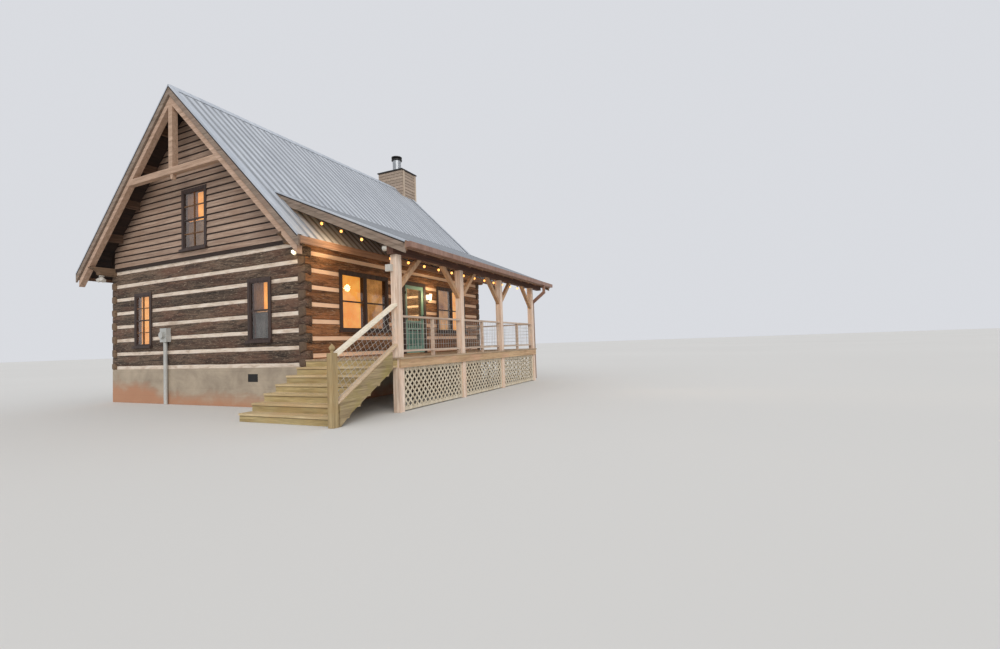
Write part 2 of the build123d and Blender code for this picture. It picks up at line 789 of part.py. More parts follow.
collar_low = ridge_height - collar_below_ridge
collar_high = collar_low + collar_height
collar_outline = [(fly_line(collar_low), collar_low), (house_width - fly_line(collar_low), collar_low)]
collar_outline += [(house_width - fly_line(collar_high), collar_high), (fly_line(collar_high), collar_high)]
collar_near = along_x(collar_outline, slab_near, truss_back)
king_side = king_width / 2
king_shoulder = ridge_height - fly_foot - roof_slope * king_side
king_outline = [(middle - king_side, collar_high), (middle + king_side, collar_high)]
king_outline += [(middle + king_side, king_shoulder), (middle, ridge_height - fly_foot)]
king_outline += [(middle - king_side, king_shoulder)]
pendant_outline = [(middle - pendant_top / 2, collar_low), (middle + pendant_top / 2, collar_low)]
pendant_outline += [(middle + pendant_tip / 2, collar_low - pendant_drop)]
pendant_outline += [(middle - pendant_tip / 2, collar_low - pendant_drop)]
pendant = along_x(pendant_outline, slab_near + pendant_setback, truss_back - pendant_setback)
parts["collar_beams"] = group([collar_near, truss_shift * collar_near - chase])
parts["king_post"] = group([along_x(king_outline, slab_near, truss_back), pendant])


def lookout(y, x0, x1):
    # A short timber under the roof boards, from the gable wall out to the truss.
    foot = roof_top(y) - roof_drop - lookout_height
    ahead = y + lookout_width
    outline = [(y, foot), (ahead, foot), (ahead, roof_top(ahead) - roof_drop), (y, roof_top(y) - roof_drop)]
    return along_x(outline, x0, x1)


lookouts = []
for index in range(lookout_count):
    y = lookout_first + index * lookout_pitch
    near_lookout = lookout(y, truss_back, -siding_proud)
    far_lookout = lookout(y, house_length + siding_proud, slab_far - truss_thickness)
    lookouts += [near_lookout, mirror_across(near_lookout)]
    if y + lookout_width < chase_mid_y - chase_width / 2:
        lookouts.append(far_lookout)
    if house_width - y - lookout_width > chase_mid_y + chase_width / 2:
        lookouts.append(mirror_across(far_lookout))
parts["rake_lookouts"] = group(lookouts)
fascia_high = roof_top(-eave_reach) - sheet_drop
fascia = box(slab_near, slab_far, -eave_reach - fascia_thickness, -eave_reach, fascia_high - fascia_height,
             fascia_high)

# Chimney
parts["chimney_chase"] = chase
cap_side = chase_width / 2 + chase_cap_reach
chase_cap = box(house_length - chase_cap_reach, house_length + chase_depth + chase_cap_reach,
                chase_mid_y - cap_side, chase_mid_y + cap_side, chase_height, chase_height + chase_cap_thickness)
flue_base = chase_height + chase_cap_thickness
flue_top = flue_base + flue_height
flue_place = Pos(chase_mid_x, chase_mid_y, flue_base + flue_height / 2)
parts["flue_pipe"] = flue_place * Cylinder(flue_radius, flue_height)
cap_ring = Pos(chase_mid_x, chase_mid_y, flue_top + flue_cap_thickness / 2)
cap_ring = cap_ring * Cylinder(flue_cap_radius, flue_cap_thickness)
stem = Pos(chase_mid_x, chase_mid_y, flue_top + flue_cap_thickness + flue_cap_gap / 2)
stem = stem * Cylinder(flue_radius * flue_stem_share, flue_cap_gap)
top_ring = Pos(0, 0, flue_cap_thickness + flue_cap_gap) * cap_ring
parts["chimney_caps"] = group([chase_cap, cap_ring + stem + top_ring])

# Porch posts, beam and braces
posts = [box(x, x + post_size, -porch_depth, post_back, 0.0, beam_low) for x in post_places]
parts["porch_posts"] = group(posts)
beam = box(porch_roof_near, porch_roof_far, -porch_depth, post_back, beam_low, beam_high)
parts["porch_beam"] = beam
brace_front = rail_mid - brace_size / 2


def knee_brace(x, way):
    # A brace from a post face up to the beam; way is 1 to the right and -1 to the left.
    length = (brace_rise ** 2 + brace_run ** 2) ** 0.5
    foot_cut = brace_size * length / brace_run
    head_cut = brace_size * length / brace_rise
    outline = [(x, beam_low - brace_rise), (x + way * brace_run, beam_low)]
    outline += [(x + way * (brace_run - head_cut), beam_low), (x, beam_low - brace_rise + foot_cut)]
    return along_y(outline, brace_front, brace_front + brace_size)


braces = [knee_brace(x + post_size, 1) for x in post_places[:3]]
braces += [knee_brace(x, -1) for x in post_places[1:]]
parts["knee_braces"] = group(braces)

# Porch roof
board_meet = porch_meets(porch_roof_drop)
front_high = porch_top(porch_roof_front)
porch_outline = [(spring_y, porch_top(spring_y) - sheet_drop), (porch_roof_front, front_high - sheet_drop)]
porch_outline += [(porch_roof_front, front_high - porch_roof_drop)]
porch_outline += [(board_meet, porch_top(board_meet) - porch_roof_drop)]
parts["porch_roof"] = along_x(porch_outline, porch_roof_near, porch_roof_far)
porch_sheet_outline = [(spring_y, porch_top(spring_y)), (porch_roof_front, front_high)]
porch_sheet_outline += [(porch_roof_front, front_high - sheet_drop)]
porch_sheet_outline += [(spring_y, porch_top(spring_y) - sheet_drop)]
porch_sheet = along_x(porch_sheet_outline, porch_roof_near, porch_roof_far)
parts["roof_sheets"] = group([front_sheet, back_sheet, porch_sheet])
rafter_meet = porch_meets(porch_rafter_foot)
rafter_outline = [(board_meet, porch_top(board_meet) - porch_roof_drop)]
rafter_outline += [(porch_roof_front, front_high - porch_roof_drop)]
rafter_outline += [(porch_roof_front, front_high - porch_rafter_foot)]
rafter_outline += [(rafter_meet, porch_top(rafter_meet) - porch_rafter_foot)]
rafters = []
rafter_run = porch_roof_far - porch_roof_near - porch_rafter_width
for index in range(porch_rafter_count):
    x = porch_roof_near + rafter_run * index / (porch_rafter_count - 1)
    rafters.append(along_x(rafter_outline, x, x + porch_rafter_width) - beam)
parts["porch_rafters"] = group(rafters)
barge_meet = porch_meets(porch_barge_foot)
porch_barge_outline = [(spring_y, porch_top(spring_y)), (porch_roof_front, front_high)]
porch_barge_outline += [(porch_roof_front, front_high - porch_barge_foot)]
porch_barge_outline += [(barge_meet, porch_top(barge_meet) - porch_barge_foot)]
porch_barge_outline += [(spring_y, porch_top(spring_y) - sheet_drop)]
near_porch_barge = along_x(porch_barge_outline, porch_end_near, porch_roof_near)
far_porch_barge = along_x(porch_barge_outline, porch_roof_far, porch_end_far)
parts["barge_boards"] = group(barges + [near_porch_barge, far_porch_barge])
porch_fascia_high = front_high - porch_fascia_below
fascia_front = porch_roof_front - fascia_thickness
porch_fascia = box(porch_end_near, porch_end_far, fascia_front, porch_roof_front,
                   porch_fascia_high - fascia_height, porch_fascia_high)
parts["fascia_boards"] = group([fascia, mirror_across(fascia), porch_fascia])

# Gutter and spout
gutter_front = fascia_front - gutter_depth
gutter = box(porch_end_near, porch_end_far, gutter_front, fascia_front, gutter_low, gutter_top)
gutter_inside = box(porch_end_near + gutter_wall, porch_end_far - gutter_wall, gutter_front + gutter_wall,
                    fascia_front - gutter_wall, gutter_low + gutter_wall, gutter_top + cut_past)
parts["porch_gutter"] = gutter - gutter_inside
spout_x = deck_end + spout_gap
spout_back = -porch_depth + spout_depth
spout_turn = gutter_low - spout_neck
spout_bend = spout_turn - spout_slant
neck_front = gutter_front + gutter_depth / 2 - spout_depth / 2
neck_back = neck_front + spout_depth
spout_path = [(-porch_depth, spout_foot), (spout_back, spout_foot), (spout_back, spout_bend)]
spout_path += [(neck_back, spout_turn + spout_ease), (neck_back, gutter_low), (neck_front, gutter_low)]
spout_path += [(neck_front, spout_turn), (-porch_depth, spout_bend - spout_ease)]
parts["downspout"] = along_x(spout_path, spout_x, spout_x + spout_width)

# Porch deck on its joists, between a rim along the front and a ledger on the wall
rim_high = deck_height - deck_thickness
rim_low = rim_high - rim_height
rim_front = -porch_depth - rim_thickness
all_posts = group(posts)
near_wall = parts["near_gable_logs"]
deck = box(-deck_nosing, deck_end + deck_nosing, rim_front - deck_nosing, 0.0, rim_high, deck_height)
parts["porch_deck"] = deck - all_posts - near_wall
rim = box(0.0, deck_end, rim_front, -porch_depth, rim_low, rim_high)
ledger = box(0.0, deck_end, -rim_thickness, 0.0, rim_low, rim_high) - near_wall
parts["deck_frame"] = group([rim, ledger])
joists = []
joist_run = deck_end - rim_thickness
for index in range(joist_count):
    x = joist_run * index / (joist_count - 1)
    joists.append(box(x, x + rim_thickness, -porch_depth, -rim_thickness, rim_low, rim_high) - all_posts)
parts["deck_joists"] = group(joists)

# Railings
rail_ends = [(post_places[i] + post_size, post_places[i + 1]) for i in range(3)]
end_length = -post_back
end_turn = Pos(deck_end - post_size / 2, post_back, 0) * Rot(0, 0, 90)
wire_rise = rail_top - rail_thickness - low_rail_top


def square_rail(x0, x1, width, top):
    # A level rail along X, centred on Y.
    return box(x0, x1, -width / 2, width / 2, top - rail_thickness, top)


def square_stud(x, size, low, high):
    # An upright of square section, centred on its place.
    return box(x - size / 2, x + size / 2, -size / 2, size / 2, low, high)


def railing(length):
    # Top rail, bottom rail, a middle post and an end block under the bottom rail, from zero along X.
    frame = square_rail(0.0, length, rail_width, rail_top)
    frame = frame + square_rail(0.0, length, low_rail_width, low_rail_top)
    frame = frame + square_stud(length / 2, mid_post_size, deck_height, rail_top - rail_thickness)
    block_mid = length - low_rail_width / 2
    end_block = square_stud(block_mid, low_rail_width, deck_height, low_rail_top - rail_thickness)
    return frame + end_block


def railing_wires(length):
    # The two wire panels of one railing.
    half = length / 2 - mid_post_size / 2
    panel = wire_panel(half, wire_rise, 0.0)
    left = Pos(0, -wire_size / 2, low_rail_top) * panel
    return [left, Pos(length - half, 0, 0) * left]


rails = []
wires = []
for x0, x1 in rail_ends:
    rails.append(Pos(x0, rail_mid, 0) * railing(x1 - x0))
    wires += [Pos(x0, rail_mid, 0) * wire for wire in railing_wires(x1 - x0)]
rails.append(end_turn * railing(end_length))
wires += [end_turn * wire for wire in railing_wires(end_length)]
parts["railings"] = group(rails)

# Lattice skirts
skirt_rise = rim_low - skirt_low
skirts = []
for x0, x1 in rail_ends:
    skirts.append(Pos(x0, -porch_depth + skirt_setback, skirt_low) * lattice_panel(x1 - x0, skirt_rise))
skirt_turn = Pos(deck_end - skirt_setback, post_back, skirt_low) * Rot(0, 0, 90)
skirts.append(skirt_turn * lattice_panel(end_length, skirt_rise))
parts["lattice_skirts"] = group(skirts)

# Stairs
stair_front = -porch_depth + stringer_thickness
stair_back = -stair_inner_gap
treads = []
risers = []
for step in range(1, step_count + 1):
    top = deck_height - riser * step
    front = -going * step
    treads.append(box(front - tread_nosing, front + going, stair_front, stair_back, top - tread_thickness, top))
    low = max(top - riser, 0.0)
    risers.append(box(front, front + riser_thickness, stair_front, stair_back, low, top - tread_thickness))
parts["stair_treads"] = group([tread - group(risers) for tread in treads])
parts["stair_risers"] = group(risers)
lean = riser / going
run = going * step_count
slant = (1 + lean ** 2) ** 0.5
stair_rail_drop = rail_thickness * slant


def skirt_line(x):
    # The top edge of the outer stringer, which lies right under the low rail.
    return deck_height + stair_low_rail_rise - stair_rail_drop + lean * x


skirt_outline = [(-stringer_top_gap, skirt_line(-stringer_top_gap)), (-run, skirt_line(-run)), (-run, 0.0)]
skirt_outline += [(going - run, skirt_line(going - run) - skirt_board_depth)]
skirt_outline += [(-stringer_top_gap, skirt_line(-stringer_top_gap) - skirt_board_depth)]
outer_skirt = along_y(skirt_outline, -porch_depth, stair_front)
carriage_top = deck_height - riser - tread_thickness
carriage_outline = [(0.0, carriage_top)]
for step in range(1, step_count + 1):
    back = -going * step + riser_thickness
    under_tread = deck_height - riser * step - tread_thickness
    carriage_outline.append((back, under_tread))
    carriage_outline.append((back, max(under_tread - riser, 0.0)))
carriage_low = carriage_top + riser - carriage_depth
carriage_outline.append((-carriage_low / lean, 0.0))
carriage_outline.append((0.0, carriage_low))
inner_carriage = along_y(carriage_outline, stair_back - stringer_thickness, stair_back)
middle_carriage = Pos(0, (stair_front - stair_back) / 2, 0) * inner_carriage
parts["stair_stringers"] = group([outer_skirt, inner_carriage, middle_carriage])

# Newel with its finial, rails and wire
newel_right = -run - tread_nosing
newel_mid = newel_right - newel_size / 2
newel = box(newel_right - newel_size, newel_right, rail_mid - newel_size / 2, rail_mid + newel_size / 2, 0.0,
            newel_height)
finial_place = Pos(newel_mid, rail_mid, newel_height)
finial = Pos(0, 0, finial_neck_height / 2) * Cylinder(finial_neck_radius, finial_neck_height)
bulb_middle = finial_neck_height + finial_bulb_radius - finial_bulb_sink
finial = finial + Pos(0, 0, bulb_middle) * Sphere(finial_bulb_radius)
tip_low = bulb_middle + finial_bulb_radius - finial_bulb_sink
tip_height = finial_height - tip_low
finial = finial + Pos(0, 0, tip_low + tip_height / 2) * Cone(finial_neck_radius, finial_tip_radius, tip_height)
parts["newel_post"] = newel + finial_place * finial


def stair_rail(rise, width):
    # A rail that follows the stair at this height over the nosings.
    high = deck_height + rise
    low = high + lean * newel_right
    outline = [(0.0, high), (newel_right, low)]
    outline += [(newel_right, low - stair_rail_drop), (0.0, high - stair_rail_drop)]
    return along_y(outline, rail_mid - width / 2, rail_mid + width / 2)


hand_rail = stair_rail(stair_rail_rise, stair_rail_width)
low_stair_rail = stair_rail(stair_low_rail_rise, stair_low_rail_width)
parts["stair_rails"] = group([hand_rail, low_stair_rail])
stair_wire_low = deck_height + stair_low_rail_rise + lean * newel_right
stair_wire_rise = stair_rail_rise - stair_rail_drop - stair_low_rail_rise
stair_wire = wire_panel(-newel_right, stair_wire_rise, lean)
wires.append(Pos(newel_right, rail_mid - wire_size / 2, stair_wire_low) * stair_wire)
parts["railing_wire"] = group(wires)

# Meter box on its pipe
meter_low = foundation_height + meter_rise
meter_y = house_width - meter_from_back
meter = box(-meter_depth, 0.0, meter_y - meter_width / 2, meter_y + meter_width / 2, meter_low,
            meter_low + meter_height)
pipe = Pos(-meter_depth / 2, meter_y, meter_low / 2) * Cylinder(pipe_radius, meter_low)
dial_z = meter_low + meter_height / 2
dial = Pos(-meter_depth - dial_reach / 2, meter_y, dial_z) * Rot(0, 90, 0) * Cylinder(dial_radius, dial_reach)
parts["meter_box"] = meter + pipe + dial

# Lantern by the door
lamp_x = door_right + lamp_from_door
lamp_z = deck_height + lamp_rise
lantern = box(lamp_x - lamp_plate_width / 2, lamp_x + lamp_plate_width / 2, -lamp_plate_thickness, 0.0,
              lamp_z - lamp_plate_height / 2, lamp_z + lamp_plate_height / 2)
lantern = lantern + box(lamp_x - lamp_arm / 2, lamp_x + lamp_arm / 2, -lamp_reach, 0.0,
                        lamp_z, lamp_z + lamp_arm)
lantern_top = Plane(origin=(lamp_x, -lamp_reach, lamp_z + lamp_body_height / 2), z_dir=(0, 0, -1))
lantern_body = extrude(lantern_top * Rectangle(lamp_top_width, lamp_top_width), amount=lamp_body_height,
                       taper=lamp_taper)


def flood_light(x, y, z):
    # A base under a plate log end, a stem and two heads aimed outwards and down.
    base = Pos(x, y, z - flood_base_thickness / 2) * Cylinder(flood_base_radius, flood_base_thickness)
    knuckle = z - flood_base_thickness - flood_stem
    stem = Pos(x, y, knuckle + flood_stem / 2) * Box(flood_stem_width, flood_stem_width, flood_stem)
    lamp = base + stem
    head = Cylinder(flood_head_radius, flood_head_length, align=(Align.CENTER, Align.CENTER, Align.MAX))
    for turn in [0, -90]:
        lamp = lamp + Pos(x, y, knuckle) * Rot(0, 0, turn) * Rot(0, flood_tilt, 0) * head
    return lamp


bracket_foot = first_long + (long_courses - 1) * log_pitch - log_pitch / 4 + notch_slope * corner_mid
front_flood = flood_light(-flood_front_reach, corner_mid, bracket_foot)
back_flood = mirror_across(flood_light(-flood_back_reach, corner_mid, bracket_foot))
sensor_high = beam_low - sensor_drop
sensor = box(-sensor_depth, 0.0, post_back - sensor_width / 2, post_back + sensor_width / 2,
             sensor_high - sensor_height, sensor_high)
spot = Pos(porch_roof_near / 2, post_back + spot_length / 2, beam_high - spot_radius) * Rot(90, 0, 0)
spot = spot * Cylinder(spot_radius, spot_length)
parts["outside_lamps"] = group([lantern + lantern_body, front_flood, back_flood, sensor, spot])

# The whole cabin, moved so that it stands centred on the ground
os.makedirs("parts", exist_ok=True)
whole = Compound([shape for shape in parts.values()])
bounds = whole.bounding_box()
shift = Pos(-(bounds.min.X + bounds.max.X) / 2, -(bounds.min.Y + bounds.max.Y) / 2, -bounds.min.Z)
for name, shape in parts.items():
    export_step(shift * shape, f"parts/{name}.step")
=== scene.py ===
# %% [markdown]
# A log cabin with a covered porch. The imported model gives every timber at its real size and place.
# This script gives the cabin its surfaces: hewn logs, sanded mortar, ribbed metal, lap siding,
# wire panels, lattice, window bars and cloth behind the glass. It starts by loading the model.

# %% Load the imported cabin
import math
import bmesh
import bpy
from mathutils import Matrix, Vector


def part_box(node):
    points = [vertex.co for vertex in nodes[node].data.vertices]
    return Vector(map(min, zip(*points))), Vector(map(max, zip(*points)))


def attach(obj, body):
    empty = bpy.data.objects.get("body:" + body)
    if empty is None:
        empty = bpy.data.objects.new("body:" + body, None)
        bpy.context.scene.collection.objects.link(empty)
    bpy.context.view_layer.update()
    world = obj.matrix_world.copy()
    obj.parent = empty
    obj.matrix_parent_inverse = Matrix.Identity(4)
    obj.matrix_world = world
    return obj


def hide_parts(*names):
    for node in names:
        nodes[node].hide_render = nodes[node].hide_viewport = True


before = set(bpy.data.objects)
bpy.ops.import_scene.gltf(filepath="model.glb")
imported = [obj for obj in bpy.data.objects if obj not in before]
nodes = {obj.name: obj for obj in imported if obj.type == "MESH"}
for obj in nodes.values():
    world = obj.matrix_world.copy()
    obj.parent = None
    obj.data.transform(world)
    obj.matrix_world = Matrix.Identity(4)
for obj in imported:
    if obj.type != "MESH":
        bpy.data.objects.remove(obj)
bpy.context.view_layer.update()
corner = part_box("long_foundations")[0]
print("nodes", len(nodes), "house corner", [round(value, 4) for value in corner])


# %% [markdown]
# Every place below is given as a builder would measure it: along the wall, across the gable and up
# from the ground, from the front corner of the near gable. One helper turns that into the shared
# frame. The other helpers make meshes from points, bars and copies of a node, and keep the shape
# that a modifier makes.

# %% Helpers for places and meshes
def at(along, across, up):
    """A point measured from the front corner of the near gable, in metres."""
    return corner + Vector((along, across, up))


def add_piece(name, mesh, material=None):
    """Links a new object at the origin, with an optional material."""
    piece = bpy.data.objects.new(name, mesh)
    bpy.context.scene.collection.objects.link(piece)
    if material:
        mesh.materials.append(material)
    return piece


def mesh_from(name, points, faces):
    """A mesh from lists of points and faces, with its normals turned outwards."""
    mesh = bpy.data.meshes.new(name)
    mesh.from_pydata([tuple(point) for point in points], [], faces)
    form = bmesh.new()
    form.from_mesh(mesh)
    bmesh.ops.recalc_face_normals(form, faces=form.faces)
    form.to_mesh(mesh)
    form.free()
    return mesh


BAR_FACES = [(0, 1, 3, 2), (4, 6, 7, 5), (0, 4, 5, 1), (2, 3, 7, 6), (0, 2, 6, 4), (1, 5, 7, 3)]


def bars_mesh(name, bars):
    """One mesh of straight bars, each given by its lowest and highest corner."""
    points = []
    faces = []
    for low, high in bars:
        start = len(points)
        corners = [(x, y, z) for x in (low[0], high[0]) for y in (low[1], high[1]) for z in (low[2], high[2])]
        points += corners
        faces += [tuple(start + index for index in face) for face in BAR_FACES]
    return mesh_from(name, points, faces)


def bars_piece(name, bars, material=None):
    """A piece made of straight bars."""
    return add_piece(name, bars_mesh(name, bars), material)


def mesh_of(name, form):
    """A new mesh from a bmesh, which is freed."""
    mesh = bpy.data.meshes.new(name)
    form.to_mesh(mesh)
    form.free()
    return mesh


def bake(piece):
    """Puts a piece's modifiers into its mesh and returns that mesh."""
    bpy.context.view_layer.update()
    shape = bpy.data.meshes.new_from_object(piece.evaluated_get(bpy.context.evaluated_depsgraph_get()))
    piece.modifiers.clear()
    piece.data = shape
    return shape


def merged_mesh(node):
    """A copy of a node's mesh whose loose triangles are joined up again."""
    mesh = nodes[node].data.copy()
    form = bmesh.new()
    form.from_mesh(mesh)
    bmesh.ops.remove_doubles(form, verts=form.verts, dist=0.0002)
    form.to_mesh(mesh)
    form.free()
    mesh.materials.clear()
    return mesh


def solids_of(node):
    """The lowest and highest corner of each separate solid in a node."""
    form = bmesh.new()
    form.from_mesh(merged_mesh(node))
    seen = set()
    boxes = []
    for first in form.verts:
        if first in seen:
            continue
        group = [first]
        seen.add(first)
        for vertex in group:
            for edge in vertex.link_edges:
                other = edge.other_vert(vertex)
                if other not in seen:
                    seen.add(other)
                    group.append(other)
        low = Vector([min(vertex.co[axis] for vertex in group) for axis in range(3)])
        high = Vector([max(vertex.co[axis] for vertex in group) for axis in range(3)])
        boxes.append((low, high))
    form.free()
    return boxes


def settle(piece, body, replaced=()):
    """Puts a finished piece on its body, in place of the nodes that it stands for."""
    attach(piece, body)
    if replaced:
        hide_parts(*replaced)
    print(piece.name, "has", len(piece.data.polygons), "faces")


# %% [markdown]
# A finish is a small graph of shader nodes. This helper adds one node at a time and hands back its
# output, so that each finish below reads like a recipe: grain, then stain, then bump. Patterns use
# Object coordinates, which are metres here because every piece sits at the origin.

# %% A helper that builds shader graphs
def tint(text):
    """A colour written as six hexadecimal digits, as the shader wants it."""
    shares = [int(text[place:place + 2], 16) / 255 for place in (0, 2, 4)]
    linear = [share / 12.92 if share <= 0.04045 else ((share + 0.055) / 1.055) ** 2.4 for share in shares]
    return (*linear, 1.0)


RIDGE_ACROSS = 3.67
RIDGE_UP = 7.71815
ROOF_SLOPE = 0.995


class Finish:
    """A material under construction. Each method adds a node and returns its output."""

    def __init__(self, name, roughness=0.75, metallic=0.0):
        self.material = bpy.data.materials.new(name)
        self.material.use_nodes = True
        self.tree = self.material.node_tree
        self.shader = self.tree.nodes["Principled BSDF"]
        self.shader.inputs["Roughness"].default_value = roughness
        self.shader.inputs["Metallic"].default_value = metallic
        self.place = self.add("ShaderNodeTexCoord").outputs["Object"]

    def add(self, kind, settings=None, values=None):
        node = self.tree.nodes.new(kind)
        for name, value in (settings or {}).items():
            setattr(node, name, value)
        for name, value in (values or {}).items():
            if isinstance(value, bpy.types.NodeSocket):
                self.tree.links.new(value, node.inputs[name])
            else:
                node.inputs[name].default_value = value
        return node

    def stretched(self, scale):
        """Object coordinates, scaled by three factors."""
        return self.add("ShaderNodeMapping", values={"Vector": self.place, "Scale": scale}).outputs[0]

    def noise(self, scale, detail=4.0, roughness=0.6, distortion=0.0):
        """Noise on stretched coordinates, from 0 to 1."""
        values = {"Vector": self.stretched(scale), "Scale": 1.0, "Detail": detail}
        values.update({"Roughness": roughness, "Distortion": distortion})
        return self.add("ShaderNodeTexNoise", values=values).outputs[0]

    def ramp(self, factor, stops):
        """Colours, or greys, between stops of (place, colour)."""
        node = self.add("ShaderNodeValToRGB", values={"Fac": factor})
        scale = node.color_ramp.elements
        scale[0].position = stops[0][0]
        scale[1].position = stops[-1][0]
        for place, colour in stops[1:-1]:
            scale.new(place)
        for element, (place, colour) in zip(sorted(scale, key=lambda stop: stop.position), stops):
            element.color = colour if isinstance(colour, tuple) else (colour, colour, colour, 1.0)
        return node.outputs[0]

    def mix(self, factor, first, second, way="MIX"):
        settings = {"data_type": "RGBA", "blend_type": way}
        return self.add("ShaderNodeMix", settings, {0: factor, 6: first, 7: second}).outputs[2]

    def times(self, colour, shade):
        return self.mix(1.0, colour, shade, "MULTIPLY")

    def maths(self, way, first, second=0.0):
        return self.add("ShaderNodeMath", {"operation": way}, {0: first, 1: second}).outputs[0]

    def axis(self, name):
        return self.add("ShaderNodeSeparateXYZ", values={0: self.place}).outputs[name]

    def steps(self, name, start, pitch):
        """The count of the board or course, and how far across it the point lies, along one axis."""
        count = self.maths("DIVIDE", self.maths("SUBTRACT", self.axis(name), start), pitch)
        return self.maths("FLOOR", count), self.maths("FRACT", count)

    def chance(self, number):
        """One random value for each whole number."""
        return self.add("ShaderNodeTexWhiteNoise", {"noise_dimensions": "1D"}, {"W": number}).outputs[0]

    def below_roof(self):
        """How far a point lies below the main roof, straight down."""
        aside = self.maths("ABSOLUTE", self.maths("SUBTRACT", self.axis("Y"), corner.y + RIDGE_ACROSS))
        top = self.maths("SUBTRACT", corner.z + RIDGE_UP, self.maths("MULTIPLY", aside, ROOF_SLOPE))
        return self.maths("SUBTRACT", top, self.axis("Z"))

    def done(self, colour, height=None, depth=0.003, roughness=None):
        self.tree.links.new(colour, self.shader.inputs["Base Color"])
        if roughness:
            self.tree.links.new(roughness, self.shader.inputs["Roughness"])
        if height:
            bump = self.add("ShaderNodeBump", values={"Height": height, "Distance": depth})
            self.tree.links.new(bump.outputs[0], self.shader.inputs["Normal"])
        return self.material


# %% [markdown]
# Nearly everything on a cabin is wood. Grain is noise that is stretched along the timber. A second,
# finer noise gives the weathered lines, a slow one gives patches of another colour, and where boards
# lie side by side each one gets a tone of its own and a dark seam.

# %% Wood in general
GRAIN = {"X": (0.9, 16.0, 16.0), "Y": (16.0, 0.9, 16.0), "Z": (16.0, 16.0, 0.9)}
STAIR_LEAN = 0.15 / 0.26  # rise over run of the stair
FINE = {"X": (5.0, 120.0, 120.0), "Y": (120.0, 5.0, 120.0), "Z": (120.0, 120.0, 5.0)}


def wood(name, light, dark, grain, patch=None, patch_share=0.5, boards=None, seam=0.04, lap=None,
         shadow_band=None, lower=None, roughness=0.75, depth=0.003):
    """Weathered wood. boards is (axis, start, pitch) where boards lie side by side, and lap is the same
    where each board hangs over the one below; there the head of each board is darkened as painted shadow
    of the board above. shadow_band is a painted shadow line, between two depths below the main roof.
    lower is a height above the stair's foot line, under which it is greyer."""
    finish = Finish(name, roughness)
    streaks = finish.noise(GRAIN[grain], 6.0, 0.65, 0.6)
    lines = finish.noise(FINE[grain], 3.0, 0.6)
    colour = finish.ramp(streaks, [(0.3, tint(dark)), (0.68, tint(light))])
    colour = finish.times(colour, finish.ramp(lines, [(0.3, 0.7), (0.6, 1.0)]))
    if patch:
        share = finish.ramp(finish.noise((1.7, 1.7, 2.6), 3.0), [(0.45, 0.0), (0.7, patch_share)])
        colour = finish.mix(share, colour, tint(patch))
    height = finish.maths("ADD", streaks, lines)
    if boards:
        count, across = finish.steps(*boards)
        tone = finish.ramp(finish.chance(count), [(0.0, 0.72), (1.0, 1.12)])
        colour = finish.times(colour, tone)
        gap = finish.ramp(across, [(0.0, 0.12), (seam, 1.0)])
        colour = finish.times(colour, gap)
        height = finish.maths("ADD", height, finish.maths("MULTIPLY", gap, 2.0))
    if lap:
        count, across = finish.steps(*lap)
        tone = finish.ramp(finish.chance(count), [(0.0, 0.88), (1.0, 1.08)])
        colour = finish.times(colour, tone)
        # Painted shadow: the head of each board, under the butt of the one above, is darkened.
        shade = finish.ramp(across, [(0.0, 1.0), (0.84, 1.04), (0.92, 0.68), (0.97, 0.4)])
        colour = finish.times(colour, shade)
    if lower:
        rise = finish.maths("SUBTRACT", finish.axis("Z"), corner.z)
        run = finish.maths("MULTIPLY", finish.maths("SUBTRACT", finish.axis("X"), corner.x), STAIR_LEAN)
        under = finish.maths("LESS_THAN", finish.maths("SUBTRACT", rise, run), lower)
        colour = finish.mix(under, colour, finish.times(colour, tint("e2d2c4")))
    if shadow_band:
        # Painted shadow: a dark band between two depths below the main roof.
        depth_below = finish.below_roof()
        fade = 0.012
        line = finish.ramp(depth_below, [(shadow_band[0] - fade, 1.0), (shadow_band[0], 0.25), (shadow_band[1], 0.25),
                                         (shadow_band[1] + fade, 1.0)])
        colour = finish.times(colour, line)
    return finish.done(colour, height, depth)


# %% [markdown]
# The wall logs were squared with a broad axe. Each log has its own tone, the grain runs along it,
# the axe left short dark cuts across the face, and pale flecks show where the wood is dry.

# %% Hewn log finishes
LOG_PITCH = 0.373
GABLE_START = corner.z + 0.9395
LONG_START = corner.z + 0.753
CUTS = {"X": (7.0, 20.0, 16.0), "Y": (20.0, 7.0, 16.0)}
STAINS = {"X": (0.9, 6.0, 8.0), "Y": (6.0, 0.9, 8.0)}
FLECKS = {"X": (9.0, 60.0, 60.0), "Y": (60.0, 9.0, 60.0)}


